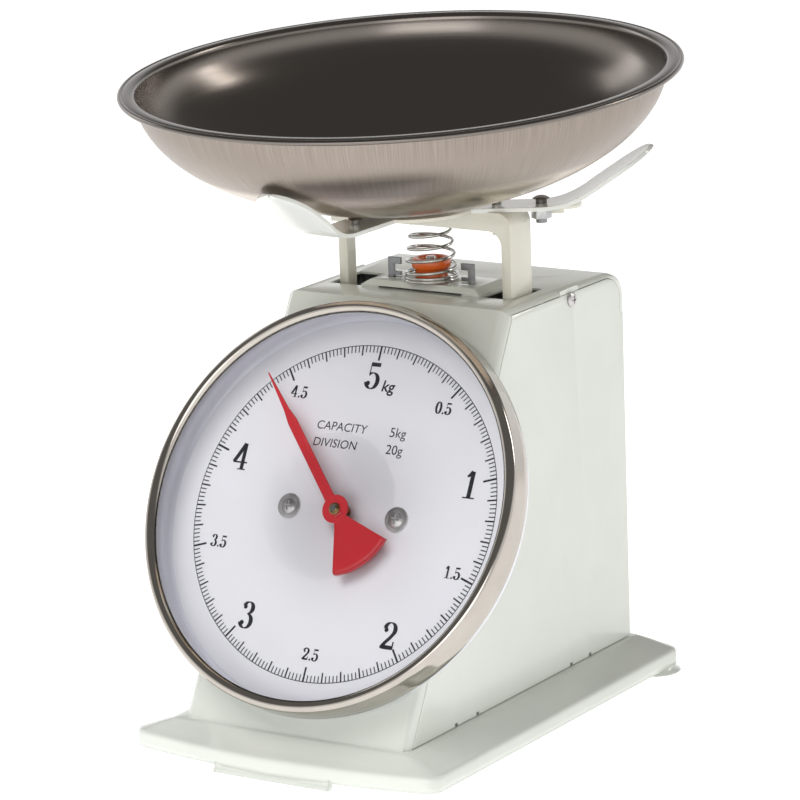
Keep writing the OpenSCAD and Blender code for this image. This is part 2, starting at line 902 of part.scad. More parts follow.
// The region inside the inverted U, shrunk at the posts and at the cross bar.
module frame_outline(post_inset, beam_inset, corner) {
  half = post_x - post_inset;
  top = beam_top - beam_inset;
  low = post_low - (post_inset > 0 ? 1 : 0);
  union() {
    translate([-half, low]) square([2 * half, top - corner - low]);
    translate([-half + corner, low]) square([2 * (half - corner), top - low]);
    for (x = [-1, 1]) {
      translate([x * (half - corner), top - corner]) circle(r = corner);
    }
  }
}

module post_frame() {
  left_front = post_y - post_w / 2 + left_post_step;
  left_top = beam_top - beam_flange - 1.5;
  color("ivory") difference() {
    union() {
      difference() {
        union() {
          translate([0, post_y + post_w / 2, 0]) rotate([90, 0, 0]) linear_extrude(post_w) {
            frame_band(post_sheet, post_sheet, 6 - post_sheet);
          }
          for (y = [post_y - post_w / 2 + post_sheet, post_y + post_w / 2]) {
            translate([0, y, 0]) rotate([90, 0, 0]) linear_extrude(post_sheet) {
              frame_band(post_flange, beam_flange, 7);
            }
          }
        }
        // The left post is narrower than the cross bar
        translate([-post_x - 1, post_y - post_w, post_low - 2]) {
          cube([post_flange + 4, 2 * post_w, left_top - post_low + 2]);
        }
      }
      translate([-post_x, left_front, post_low]) {
        cube([post_sheet, left_post_w, left_top + 2 - post_low]);
      }
      translate([-post_x, left_front, yoke_z + yoke_end_h + 1]) {
        cube([post_flange, post_sheet, left_top - yoke_z - yoke_end_h - 1 + 1]);
      }
    }
    platform_screw_places() translate([0, 0, -20]) cylinder(r = 2.2, h = 40);
    yoke_screw_places() translate([0, 0, -6]) cylinder(r = 2.1, h = 12);
  }
}

// Places a child at each yoke screw, with z pointing out of the post.
module yoke_screw_places() {
  for (x = [-1, 1]) {
    translate([x * post_x, post_y, yoke_screw_z]) rotate([0, x * 90, 0]) children();
  }
}

// Two screws that hold the cradle on the cross bar.
module platform_screw_places() {
  for (x = [-1, 1]) {
    translate([x * platform_screw_x, platform_screw_y, beam_top]) children();
  }
}

module lower_yoke() {
  half = post_x - post_sheet - yoke_fit;
  slot_l = link_slide + 2 * rack_pin_r + 0.6;
  ear_front = pin_y - link_slide - 3.2;
  color("silver") difference() {
    union() {
      translate([-half, post_y - yoke_w / 2 + 2, yoke_z]) cube([2 * half, yoke_w - 4, yoke_t]);
      for (x = [-1, 1]) {
        translate([x * (half - 1) - 1, post_y - yoke_w / 2 + 2, yoke_z]) {
          cube([2, yoke_w - 4, yoke_end_h]);
        }
        // Lugs that hold the main springs
        translate([x * spring_x - 4, post_y - lug_t / 2, yoke_z]) {
          cube([8, lug_t, yoke_hole_z + 3 - yoke_z]);
        }
      }
      // Tongue that reaches forward to the rack
      translate([ear_plate_x, ear_front, yoke_z]) {
        cube([tongue_w, post_y - ear_front, yoke_t]);
      }
      translate([ear_plate_x, ear_front, pin_z - 5]) {
        cube([ear_plate_t, link_slide + 12, yoke_z + yoke_t - pin_z + 5]);
      }
    }
    // Level slot for the rack's pin
    translate([ear_plate_x - 1, 0, pin_z]) rotate([90, 0, 90]) linear_extrude(ear_plate_t + 2) {
      half_h = rack_pin_r + run_fit;
      translate([pin_y, 0]) circle(r = half_h);
      translate([pin_y - link_slide, 0]) circle(r = half_h);
      translate([pin_y - link_slide, -half_h]) square([link_slide, 2 * half_h]);
    }
    for (x = [-1, 1]) {
      translate([x * spring_x, post_y + 5, yoke_hole_z]) rotate([90, 0, 0]) {
        cylinder(r = lug_hole_r, h = 10);
      }
    }
    yoke_screw_places() translate([0, 0, -6]) cylinder(r = 2.05, h = 12);
  }
}

module yoke_screws() {
  color("silver") yoke_screw_places() translate([0, 0, 0.02]) pan_screw(3.8, 2, 2, 6);
}

module guide_bracket() {
  y = post_y + post_w / 2 + 5;
  leg_x = 34;
  color("gainsboro") difference() {
    union() {
      for (x = [-1, 1]) {
        translate([x * leg_x - 6, y, seat_z + 0.02]) cube([12, bracket_t, guide_z - seat_z + 6]);
        translate([x * leg_x - 6, y, seat_z + 0.02]) cube([12, 16, bracket_t]);
      }
      translate([-post_x - 6, y, guide_z - 8]) cube([2 * post_x + 12, bracket_t, 16]);
    }
    for (x = [-1, 1]) {
      translate([x * leg_x, y + 9, seat_z - 1]) cylinder(r = 2.2, h = 5);
    }
  }
}

module guide_blocks() {
  wall = 3;
  in_x = post_x - post_flange - guide_clear;
  out_x = post_x + guide_clear;
  y_front = post_y - post_w / 2 - guide_clear;
  y_back = post_y + post_w / 2 + 5;
  color("whitesmoke") for (side = [0, 1]) mirror([side, 0, 0]) {
    difference() {
      translate([in_x - wall, y_front - wall, guide_z - guide_block_h / 2]) {
        cube([out_x - in_x + 2 * wall, y_back - y_front + wall, guide_block_h]);
      }
      translate([in_x, y_front, guide_z - guide_block_h]) {
        cube([out_x - in_x, post_w + 2 * guide_clear, 2 * guide_block_h]);
      }
    }
  }
}

module stop_bumper() {
  color("dimgray") translate([0, post_y, seat_z + 0.02]) {
    cylinder(r = 7, h = bumper_top - seat_z - 4);
    translate([0, 0, bumper_top - seat_z - 4]) cylinder(r1 = 7, r2 = 5, h = 4);
  }
}

// ---- Hanger, adjuster and springs ----

module hanger_plate() {
  half = spring_x + 4;
  color("silver") difference() {
    union() {
      translate([-half, post_y - 6, hanger_z]) cube([2 * half, 12, hanger_t]);
      for (x = [-1, 1]) {
        translate([x * spring_x - 4, post_y - lug_t / 2, lug_hole_z - 3.2]) {
          cube([8, lug_t, hanger_z - lug_hole_z + 3.2 + eps]);
        }
        hanger_ear(x);
      }
    }
    for (x = [-1, 1]) {
      translate([x * spring_x, post_y + 5, lug_hole_z]) rotate([90, 0, 0]) {
        cylinder(r = lug_hole_r, h = 10);
      }
    }
    translate([0, post_y, hanger_z - 1]) cylinder(r = stud_r, h = hanger_t + 2);
  }
}

// A C-shaped ear that stands up through the bridge, open towards the middle.
module hanger_ear(side) {
  bar = 3;
  reach = 6.6;
  top = bridge_z + ear_h;
  outer = ear_x + 3.3;
  translate([0, post_y + lug_t / 2, 0]) rotate([90, 0, 0]) linear_extrude(lug_t) {
    mirror([side > 0 ? 0 : 1, 0]) {
      translate([outer - bar, hanger_z]) square([bar, top - hanger_z]);
      translate([outer - reach, top - bar]) square([reach, bar]);
      translate([outer - reach, bridge_z + ear_gap]) square([reach, 1.6]);
    }
  }
}

module zero_stud() {
  color("silver") translate([0, post_y, hanger_z - 1.2]) {
    cylinder(r = stud_r, h = bridge_z + knob_h + 0.4 - hanger_z + 1.2);
    cylinder(r = stud_r + 1.5, h = 1.2);
  }
}

module zero_knob() {
  base = bridge_z + knob_gap;
  flange_h = knob_h * 0.42;
  color("orangered") translate([0, post_y, base]) difference() {
    union() {
      cylinder(r = knob_waist_r, h = knob_h);
      translate([0, 0, knob_h - flange_h]) cylinder(r = knob_r, h = flange_h - 0.8);
      translate([0, 0, knob_h - 0.8]) cylinder(r1 = knob_r, r2 = knob_r - 0.8, h = 0.8);
      cylinder(r = knob_waist_r + 0.8, h = 1.2);
    }
    translate([0, 0, -1]) cylinder(r = stud_r + run_fit, h = knob_h + 2);
    translate([0, 0, knob_h - 1.8]) cylinder(r = knob_waist_r - 2, h = 3);
  }
}

// Height of the buffer spring's wire after a number of turns.
function buffer_z(turns) = turns < buffer_closed_turns
  ? buffer_base + turns * 2 * buffer_wire_r * 0.9
  : buffer_base + buffer_closed_turns * 1.8 * buffer_wire_r
    + (turns - buffer_closed_turns) / buffer_open_turns
    * (buffer_top - buffer_base - buffer_closed_turns * 1.8 * buffer_wire_r);

// Radius of the buffer spring's coil after a number of turns.
function buffer_coil_r(turns) = buffer_r + (buffer_top_r - buffer_r)
  * pow(turns / (buffer_closed_turns + buffer_open_turns), 1.2);

module buffer_spring() {
  per_turn = 18;
  turns = buffer_closed_turns + buffer_open_turns;
  color("lightgray") translate([0, post_y, 0]) ring_sweep([
    for (i = [0 : turns * per_turn])
      let (t = i / per_turn)
      wire_ring(360 * t + 200, buffer_coil_r(t), buffer_z(t), buffer_wire_r, 6)
  ]);
}

module main_spring(side) {
  per_turn = 14;
  low = spring_mid_z - main_coil_h / 2;
  color("lightgray") translate([side * spring_x, post_y, 0]) {
    ring_sweep([
      for (i = [0 : main_turns * per_turn])
        wire_ring(360 * i / per_turn, spring_r, low + main_coil_h * i / per_turn / main_turns,
          spring_wire_r, 6)
    ]);
    spring_end(low, yoke_hole_z + ring_r, -1);
    spring_end(low + main_coil_h, lug_hole_z - ring_r, 1);
  }
}

// A spring's end: a wire in from the last coil to its axis, a straight stem, and a ring.
module spring_end(coil_z, ring_z, side) {
  stem_low = min(coil_z, ring_z - side * ring_r);
  stem_high = max(coil_z, ring_z - side * ring_r);
  translate([0, 0, coil_z]) rotate([0, 90, 0]) cylinder(r = spring_wire_r * 0.9, h = spring_r);
  translate([0, 0, stem_low]) cylinder(r = spring_wire_r * 0.9, h = stem_high - stem_low);
  translate([0, 0, ring_z]) rotate([0, 90, 0]) rotate_extrude() {
    translate([ring_r, 0]) circle(r = spring_wire_r, $fn = 16);
  }
}

module main_spring_left() {
  main_spring(-1);
}

module main_spring_right() {
  main_spring(1);
}

// ---- Cradle ----

module cradle_plate() {
  leg_w = 16;
  side_reach = 77;
  front_reach = 52;
  color("ivory") difference() {
    union() {
      translate([0, 0, beam_top]) linear_extrude(cradle_sheet) translate([0, cradle_y]) {
        circle(r = 30);
        for (leg = [[-90, front_reach], [30, side_reach], [150, side_reach]]) {
          rotate(leg[0]) {
            translate([0, -leg_w / 2]) square([leg[1] - leg_w / 2, leg_w]);
            translate([leg[1] - leg_w / 2, 0]) circle(r = leg_w / 2);
          }
        }
      }
      // Short stiffening flanges turned down on the side legs
      for (leg = [[30, 1], [150, -1]]) {
        on_arm(leg[0]) translate([60, leg[1] * (leg_w / 2 - 0.75) - 0.75, beam_top - 4.5]) {
          cube([9, 1.5, 4.5 + eps]);
        }
      }
    }
    cradle_holes(2.2);
  }
}

// The holes through the cradle's plate and arms for the screws, bolts and rivet.
module cradle_holes(screw_r) {
  platform_screw_places() translate([0, 0, -10]) cylinder(r = screw_r, h = 30);
  for (direction = [30, 150]) {
    on_arm(direction) translate([arm_bolt_r, 0, beam_top - 10]) cylinder(r = bolt_r + 0.1, h = 30);
  }
  on_arm(-90) translate([rivet_r, 0, beam_top - 10]) cylinder(r = 2, h = 30);
}

// Side profile of an arm: flat near the centre, a bend made of short flats, a straight blade.
module arm_profile() {
  inner = 8;
  steps = 10;
  bend_end = arm_flat + arm_bend_r * sin(blade_slope);
  run = arm_reach + 4 - bend_end;
  low = [for (i = [0 : steps]) let (a = blade_slope * i / steps)
    [arm_flat + arm_bend_r * sin(a), arm_bend_r - arm_bend_r * cos(a)]];
  high = [for (i = [0 : steps]) let (a = blade_slope * i / steps)
    [arm_flat + (arm_bend_r - arm_t) * sin(a), arm_bend_r - (arm_bend_r - arm_t) * cos(a)]];
  along = [run, run * tan(blade_slope)];
  polygon(concat(
    [[inner, 0]], low, [low[steps] + along],
    [high[steps] + along], [for (i = [steps : -1 : 0]) high[i]], [[inner, arm_t]]
  ));
}

// Plan outline of an arm: a straight strip that widens to a round-ended blade.
module arm_plan() {
  square_w = arm_w / 2;
  blade = blade_w / 2;
  blade_start = arm_reach - blade - blade_run;
  polygon([
    [0, -square_w], [arm_flat + 4, -square_w], [blade_start, -blade], [arm_reach - blade, -blade],
    [arm_reach - blade, blade], [blade_start, blade], [arm_flat + 4, square_w], [0, square_w]
  ]);
  translate([arm_reach - blade, 0]) circle(r = blade);
}

module cradle_arm(direction) {
  color("ivory") difference() {
    on_arm(direction) intersection() {
      translate([0, blade_w, arm_z]) rotate([90, 0, 0]) linear_extrude(2 * blade_w) arm_profile();
      translate([0, 0, arm_z - 1]) linear_extrude(100) arm_plan();
    }
    cradle_holes(2.2);
  }
}

module cradle_arm_front() {
  cradle_arm(-90);
}

module cradle_arm_right() {
  cradle_arm(30);
}

module cradle_arm_left() {
  cradle_arm(150);
}

module cradle_rivet() {
  color("silver") on_arm(-90) translate([rivet_r, 0, 0]) {
    translate([0, 0, beam_top]) cylinder(r = 1.95, h = arm_top - beam_top + 0.4);
    translate([0, 0, arm_top + 0.35]) cylinder(r1 = 3.6, r2 = 2.6, h = 0.9);
    translate([0, 0, beam_top - 1]) cylinder(r = 3.4, h = 0.98);
  }
}

module platform_screws() {
  color("silver") platform_screw_places() {
    translate([0, 0, arm_top - beam_top + 0.02]) {
      pan_screw(3.8, 1.6, 2.15, arm_top - beam_top + 12);
    }
  }
}

module platform_nuts() {
  color("silver") platform_screw_places() {
    translate([0, 0, -post_sheet - 3.22]) hex_nut(7, 3.2, 2.17);
  }
}

// Height of an arm's top face at a distance from the cradle's centre, near the bend's start.
function arm_top_at(r) = r < arm_flat ? arm_top
  : arm_z + arm_bend_r - sqrt(pow(arm_bend_r - arm_t, 2) - pow(r - arm_flat, 2));

module arm_bolts() {
  head_z = arm_top_at(arm_bolt_r + 4) + 0.02;
  color("dimgray") for (direction = [30, 150]) {
    on_arm(direction) translate([arm_bolt_r, 0, head_z]) {
      pan_screw(4, 1.4, bolt_r, head_z - beam_top + nut_h + 3);
    }
  }
}

module arm_washers() {
  color("gray") for (direction = [30, 150]) {
    on_arm(direction) translate([arm_bolt_r, 0, beam_top - 1.02]) difference() {
      cylinder(r = 4.4, h = 1);
      translate([0, 0, -1]) cylinder(r = bolt_r + 0.05, h = 3);
    }
  }
}

module arm_nuts() {
  color("gray") for (direction = [30, 150]) {
    on_arm(direction) translate([arm_bolt_r, 0, beam_top - 1.04 - nut_h]) {
      hex_nut(nut_af, nut_h, bolt_r + 0.02);
    }
  }
}

// ---- Bowl ----

// Outer profile of the bowl, from its lowest point to under the rim, shrunk by a wall.
function bowl_curve(wall) = [
  for (i = [0 : bowl_steps])
    let (a = 90 * i / bowl_steps)
    [(bowl_body_r - wall) * sin(a), -(bowl_depth - wall) * cos(a)]
];

module bowl() {
  flange_z = -bowl_sheet;
  color("silver") translate([0, 0, rim_z]) rotate([bowl_lean, 0, 0]) rotate_extrude($fn = 128) {
    difference() {
      polygon(concat(bowl_curve(0), [[0, 0]]));
      polygon(concat(bowl_curve(bowl_sheet), [[bowl_body_r - bowl_sheet, 1], [0, 1]]));
    }
    translate([bowl_body_r - bowl_sheet, flange_z]) {
      square([bowl_r - bowl_bead_r - bowl_body_r + bowl_sheet, bowl_sheet]);
    }
    translate([bowl_r - bowl_bead_r, -bowl_bead_r]) circle(r = bowl_bead_r, $fn = 24);
  }
}

// ---- Nodes ----

base_plate();
front_shell();
rear_cover();
cover_screws();
base_screws();
spring_bridge();
dial_pan();
dial_face();
dial_screws();
dial_nuts();
bezel();
lens();
lens_film();
lens_seal();
movement_front_plate();
movement_back_plate();
movement_pillars();
rack_guides();
front_bush();
back_bush();
pointer_shaft();
pinion();
pointer();
pointer_boss();
rack();
rack_pin();
guide_bracket();
guide_blocks();
stop_bumper();
post_frame();
lower_yoke();
yoke_screws();
main_spring_left();
main_spring_right();
hanger_plate();
zero_stud();
zero_knob();
buffer_spring();
cradle_plate();
cradle_arm_front();
cradle_arm_right();
cradle_arm_left();
cradle_rivet();
platform_screws();
platform_nuts();
arm_bolts();
arm_washers();
arm_nuts();
bowl();
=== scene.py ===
import bpy
import bmesh
import json
import math
import numpy as np
from mathutils import Matrix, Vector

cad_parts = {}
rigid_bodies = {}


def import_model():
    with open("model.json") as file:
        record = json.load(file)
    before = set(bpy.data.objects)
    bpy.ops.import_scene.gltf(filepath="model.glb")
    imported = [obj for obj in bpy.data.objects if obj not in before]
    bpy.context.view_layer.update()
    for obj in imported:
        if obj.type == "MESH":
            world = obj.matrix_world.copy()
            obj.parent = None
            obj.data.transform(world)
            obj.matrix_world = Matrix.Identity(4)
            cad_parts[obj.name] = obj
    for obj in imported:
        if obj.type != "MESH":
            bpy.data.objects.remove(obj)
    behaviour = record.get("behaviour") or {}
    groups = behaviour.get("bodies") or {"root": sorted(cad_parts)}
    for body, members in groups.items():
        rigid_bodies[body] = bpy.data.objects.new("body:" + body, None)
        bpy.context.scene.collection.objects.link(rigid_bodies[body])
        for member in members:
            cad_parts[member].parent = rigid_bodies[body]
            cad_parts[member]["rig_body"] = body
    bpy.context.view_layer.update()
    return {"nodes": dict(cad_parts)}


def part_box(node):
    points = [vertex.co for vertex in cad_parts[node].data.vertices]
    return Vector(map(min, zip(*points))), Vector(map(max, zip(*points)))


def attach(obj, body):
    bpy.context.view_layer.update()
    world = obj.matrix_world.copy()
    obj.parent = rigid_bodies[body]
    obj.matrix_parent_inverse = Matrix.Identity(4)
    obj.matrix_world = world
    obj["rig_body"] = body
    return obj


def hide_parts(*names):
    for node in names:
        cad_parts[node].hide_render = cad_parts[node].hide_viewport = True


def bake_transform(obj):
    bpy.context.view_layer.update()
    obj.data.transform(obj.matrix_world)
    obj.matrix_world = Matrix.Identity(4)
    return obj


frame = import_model()
nodes = frame["nodes"]

# ---------------------------------------------------------------------------------------------
# Base tray: one sheet of steel pressed into a low crowned tray, bowed at the front, with a
# turned-down skirt all round. It is dipped and stoved in the same off-white enamel as the body.
# ---------------------------------------------------------------------------------------------


def surface(name, grid, close_u=False, close_v=False, cap_first=False, cap_last=False):
    """Makes a mesh from a grid of points shaped (rows, columns, 3): each face joins two
    neighbouring points of a row to the same two of the next row. Ends may be closed by a fan."""
    rows, cols = grid.shape[:2]
    r = np.arange(rows if close_u else rows - 1)
    c = np.arange(cols if close_v else cols - 1)
    a, b = np.meshgrid(r, c, indexing="ij")
    a2, b2 = (a + 1) % rows, (b + 1) % cols
    quads = np.stack([a * cols + b, a * cols + b2, a2 * cols + b2, a2 * cols + b], -1).reshape(-1, 4)
    points = grid.reshape(-1, 3)
    faces = quads.tolist()
    for wanted, row, turn in ((cap_first, 0, -1), (cap_last, rows - 1, 1)):
        if wanted:
            centre = len(points)
            ring = np.arange(cols) + row * cols
            points = np.vstack([points, grid[row].mean(0)])
            pairs = np.stack([ring, np.roll(ring, -1), np.full(cols, centre)], -1)
            faces += pairs[:, ::turn].tolist()
    mesh = bpy.data.meshes.new(name)
    mesh.from_pydata(points.tolist(), [], faces)
    mesh.polygons.foreach_set("use_smooth", np.ones(len(mesh.polygons), bool))
    mesh.update()
    piece = bpy.data.objects.new(name, mesh)
    bpy.context.scene.collection.objects.link(piece)
    return piece


def enamel(name, colour, rough=0.16, dimple=0.05, grime=0.06):
    """Stoved enamel: a clear gloss over colour, slightly dimpled like orange peel at about 2 mm,
    with faint cloudy changes of shade and of gloss where hands have wiped it."""
    paint = bpy.data.materials.new(name)
    paint.use_nodes = True
    tree = paint.node_tree
    shader = tree.nodes["Principled BSDF"]
    place = tree.nodes.new("ShaderNodeTexCoord")
    cloud = tree.nodes.new("ShaderNodeTexNoise")
    cloud.inputs["Scale"].default_value = 22
    cloud.inputs["Detail"].default_value = 4
    shade = tree.nodes.new("ShaderNodeValToRGB")
    shade.color_ramp.elements[0].position = 0.3
    shade.color_ramp.elements[1].position = 0.7
    shade.color_ramp.elements[0].color = [c * (1 - grime) for c in colour] + [1]
    shade.color_ramp.elements[1].color = list(colour) + [1]
    wipe = tree.nodes.new("ShaderNodeMapRange")
    wipe.inputs["To Min"].default_value = rough * 0.75
    wipe.inputs["To Max"].default_value = rough * 1.35
    peel = tree.nodes.new("ShaderNodeTexNoise")
    peel.inputs["Scale"].default_value = 420
    peel.inputs["Detail"].default_value = 1
    bump = tree.nodes.new("ShaderNodeBump")
    bump.inputs["Strength"].default_value = dimple
    bump.inputs["Distance"].default_value = 0.0004
    link = tree.links.new
    link(place.outputs["Object"], cloud.inputs["Vector"])
    link(place.outputs["Object"], peel.inputs["Vector"])
    link(cloud.outputs["Fac"], shade.inputs["Fac"])
    link(cloud.outputs["Fac"], wipe.inputs["Value"])
    link(shade.outputs["Color"], shader.inputs["Base Color"])
    link(wipe.outputs["Result"], shader.inputs["Roughness"])
    link(peel.outputs["Fac"], bump.inputs["Height"])
    link(bump.outputs["Normal"], shader.inputs["Normal"])
    shader.inputs["Coat Weight"].default_value = 0.35
    shader.inputs["Coat Roughness"].default_value = 0.06
    return paint


def wear(piece, material):
    """Gives a piece one finish in every material slot."""
    if not piece.data.materials:
        piece.data.materials.append(material)
    for i in range(len(piece.data.materials)):
        piece.data.materials[i] = material
    return piece


def rounded_ring(x0, x1, y0, y1, radius, bow=0.0, side=40, corner=14):
    """Points round a rectangle with rounded corners, anticlockwise from the front left, with
    as many points on each side and corner whatever its size. The front bows forward by bow."""
    out = []
    turns = np.linspace(0, np.pi / 2, corner)
    centres = [(x1 - radius, y0 + radius, -np.pi / 2), (x1 - radius, y1 - radius, 0),
               (x0 + radius, y1 - radius, np.pi / 2), (x0 + radius, y0 + radius, np.pi)]
    arcs = [np.stack([cx + radius * np.cos(a + turns), cy + radius * np.sin(a + turns)], -1)
            for cx, cy, a in centres]
    for k in range(4):
        start, end = arcs[k - 1][-1], arcs[k][0]
        t = np.linspace(0, 1, side + 1)[1:-1, None]
        out += [start + (end - start) * t, arcs[k]]
    ring = np.vstack(out)
    front = ring[:, 1] < (y0 + y1) / 2
    across = np.clip(np.abs(ring[:, 0]) / x1, 0, 1)
    ring[:, 1] -= np.where(front, bow * (1 - across ** 2), 0)
    return ring


body_white = (0.70, 0.73, 0.675)
body_enamel = enamel("body_enamel_finish", body_white)

tray_out = rounded_ring(-0.079, 0.079, -0.1148, 0.1015, 0.006, bow=0.0088)
tray_in = rounded_ring(-0.0615, 0.0615, -0.108, 0.093, 0.002)
# Share of the way in from the skirt to the flat, and height, of each ring of the pressing
tray_profile = np.array([
    (0, 0.0030), (0, 0.0055), (0, 0.0078), (0.012, 0.0091), (0.045, 0.0100), (0.10, 0.01045),
    (0.18, 0.01085), (0.4, 0.0123), (0.7, 0.0142), (0.9, 0.0153), (0.97, 0.01567), (1.0, 0.0158)])
t = tray_profile[:, 0][:, None, None]
flat_rings = tray_out[None] * (1 - t) + tray_in[None] * t
tray_grid = np.dstack([flat_rings, np.repeat(tray_profile[:, 1][:, None], flat_rings.shape[1], 1)])
tray = surface("base_tray", tray_grid, close_v=True, cap_last=True)
wall = tray.modifiers.new("sheet", "SOLIDIFY")
wall.thickness = 0.0012
wall.offset = -1
wear(tray, body_enamel)
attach(tray, "housing")

# The front foot is a lip of the same sheet turned down and a little forward, 60 mm wide.
lip_x = np.linspace(-0.030, 0.030, 25)
lip_yz = np.array([(-0.1226, 0.0045), (-0.1228, 0.003), (-0.1233, 0.0016), (-0.1246, 0.0002),
                   (-0.1243, 0.0), (-0.1218, 0.0), (-0.1208, 0.0008), (-0.1204, 0.0045)])
lip_bow = 0.0002 * (lip_x / 0.03) ** 2
lip_grid = np.zeros((len(lip_x), len(lip_yz), 3))
lip_grid[..., 0] = lip_x[:, None]
lip_grid[..., 1] = lip_yz[None, :, 0] + lip_bow[:, None]
lip_grid[..., 2] = lip_yz[None, :, 1]
front_foot = surface("front_foot", lip_grid, close_v=True, cap_first=True, cap_last=True)
wear(front_foot, body_enamel)
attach(front_foot, "housing")


def turned(name, profile, origin=(0, 0, 0), axes=None, steps=128, close=False):
    """A turned piece: each (radius, height) of the profile is swept round the third axis.
    A point is origin + radius*(cos*first axis + sin*second axis) + height*third axis."""
    profile = np.asarray(profile, float)
    axes = np.eye(3) if axes is None else np.asarray(axes, float)
    a = np.linspace(0, 2 * np.pi, steps, endpoint=False)
    local = np.stack([
        profile[:, None, 0] * np.cos(a)[None], profile[:, None, 0] * np.sin(a)[None],
        np.repeat(profile[:, 1][:, None], steps, 1)], -1)
    grid = local @ axes + np.asarray(origin, float)
    piece = surface(name, grid, close_u=close, close_v=True)
    if not close:
        weld = piece.modifiers.new("poles", "WELD")
        weld.merge_threshold = 1e-6
    return piece


# The rear feet are flared cups pressed out at the tray's back corners.
for name, side in (("rear_foot_left", -1), ("rear_foot_right", 1)):
    foot = turned(name, [
        (0.0078, 0.004), (0.0088, 0.004), (0.0091, 0.0030), (0.0102, 0.0014), (0.0117, 0.0006),
        (0.012, 0.0002), (0.0118, 0.0), (0.0078, 0.0)],
        origin=(side * 0.070, 0.0925, 0), steps=48, close=True)
    wear(foot, body_enamel)
    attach(foot, "housing")
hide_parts("base_plate")

# ---------------------------------------------------------------------------------------------
# Housing: a front shell folded from one sheet, and a rear cover let into its edges, both in
# glossy off-white enamel. The folds and cut edges are softened by the thickness of the enamel.
# ---------------------------------------------------------------------------------------------


def softened(node, edge, finish, parts=3, angle=28):
    """A copy of a sheet or machined piece with its doubled points joined and its sharp edges
    rounded to a small radius, as bending, tumbling or paint leaves them."""
    mesh = nodes[node].data.copy()
    piece = bpy.data.objects.new(node + "_finished", mesh)
    bpy.context.scene.collection.objects.link(piece)
    work = bmesh.new()
    work.from_mesh(mesh)
    bmesh.ops.remove_doubles(work, verts=work.verts, dist=2e-6)
    bmesh.ops.dissolve_limit(work, angle_limit=math.radians(0.6), verts=work.verts, edges=work.edges)
    work.to_mesh(mesh)
    work.free()
    mesh.polygons.foreach_set("use_smooth", np.ones(len(mesh.polygons), bool))
    rounding = piece.modifiers.new("edges", "BEVEL")
    rounding.width = edge
    rounding.segments = parts
    rounding.limit_method = "ANGLE"
    rounding.angle_limit = math.radians(angle)
    rounding.harden_normals = True
    wear(piece, finish)
    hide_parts(node)
    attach(piece, nodes[node]["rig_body"])
    return piece


softened("front_shell", 0.00035, body_enamel)
softened("rear_cover", 0.00035, body_enamel)
softened("spring_bridge", 0.0005, body_enamel)


def plated(name, colour, rough=0.28, scratch=0.12, metal=1.0):
    """Zinc-plated or turned steel: metal whose shade and gloss change in fine cloudy patches,
    with a faint bump from handling marks."""
    steel = bpy.data.materials.new(name)
    steel.use_nodes = True
    tree = steel.node_tree
    shader = tree.nodes["Principled BSDF"]
    shader.inputs["Metallic"].default_value = metal
    place = tree.nodes.new("ShaderNodeTexCoord")
    patch = tree.nodes.new("ShaderNodeTexNoise")
    patch.inputs["Scale"].default_value = 260
    patch.inputs["Detail"].default_value = 5
    shade = tree.nodes.new("ShaderNodeValToRGB")
    shade.color_ramp.elements[0].position = 0.3
    shade.color_ramp.elements[1].position = 0.75
    shade.color_ramp.elements[0].color = [c * 0.72 for c in colour] + [1]
    shade.color_ramp.elements[1].color = list(colour) + [1]
    gloss = tree.nodes.new("ShaderNodeMapRange")
    gloss.inputs["To Min"].default_value = rough * 0.7
    gloss.inputs["To Max"].default_value = rough * 1.5
    bump = tree.nodes.new("ShaderNodeBump")
    bump.inputs["Strength"].default_value = scratch
    bump.inputs["Distance"].default_value = 0.0002
    link = tree.links.new
    link(place.outputs["Object"], patch.inputs["Vector"])
    link(patch.outputs["Fac"], shade.inputs["Fac"])
    link(patch.outputs["Fac"], gloss.inputs["Value"])
    link(patch.outputs["Fac"], bump.inputs["Height"])
    link(shade.outputs["Color"], shader.inputs["Base Color"])
    link(gloss.outputs["Result"], shader.inputs["Roughness"])
    link(bump.outputs["Normal"], shader.inputs["Normal"])
    return steel


zinc = plated("zinc_finish", (0.62, 0.61, 0.6))
softened("cover_screws", 0.00015, zinc)
softened("base_screws", 0.00015, zinc)

# ---------------------------------------------------------------------------------------------
# Dial: a dished steel pan in grey-lavender enamel carries a flat printed plate. Two pan-head
# screws with washers hold both to the sheet and the movement behind it.
# ---------------------------------------------------------------------------------------------

lean = math.radians(28.6)
face_foot_y = -0.105
tray_flat_z = 0.0158
dial_up_face = 0.0999
out_of_face = np.array([0, -math.cos(lean), math.sin(lean)])
up_face = np.array([0, math.sin(lean), math.cos(lean)])
dial_centre = np.array([0, face_foot_y + dial_up_face * math.sin(lean),
                        tray_flat_z + dial_up_face * math.cos(lean)])
face_axes = np.stack([np.array([1.0, 0, 0]), up_face, out_of_face])

pan_enamel = enamel("dial_pan_finish", (0.84, 0.845, 0.92), rough=0.3, dimple=0.03)
pan = turned("dial_pan_dish", [
    (0.004, 0.0012), (0.0865, 0.0012), (0.0890, 0.0015), (0.0904, 0.0026), (0.0909, 0.0042),
    (0.0909, 0.0136), (0.0921, 0.0136), (0.0921, 0.0035), (0.0917, 0.0014), (0.0905, 0.0003),
    (0.0890, 0.0), (0.004, 0.0)], dial_centre, face_axes, close=True, steps=192)
wear(pan, pan_enamel)
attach(pan, "housing")
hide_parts("dial_pan")

plate_white = enamel("dial_print_finish", (0.92, 0.92, 0.96), rough=0.42, dimple=0.015, grime=0.03)
plate = turned("dial_plate", [
    (0.004, 0.00205), (0.004, 0.0022), (0.0878, 0.0022), (0.0880, 0.0021), (0.0880, 0.0013),
    (0.004, 0.0013)], dial_centre, face_axes, close=True, steps=192)
wear(plate, plate_white)
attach(plate, "housing")
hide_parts("dial_face")

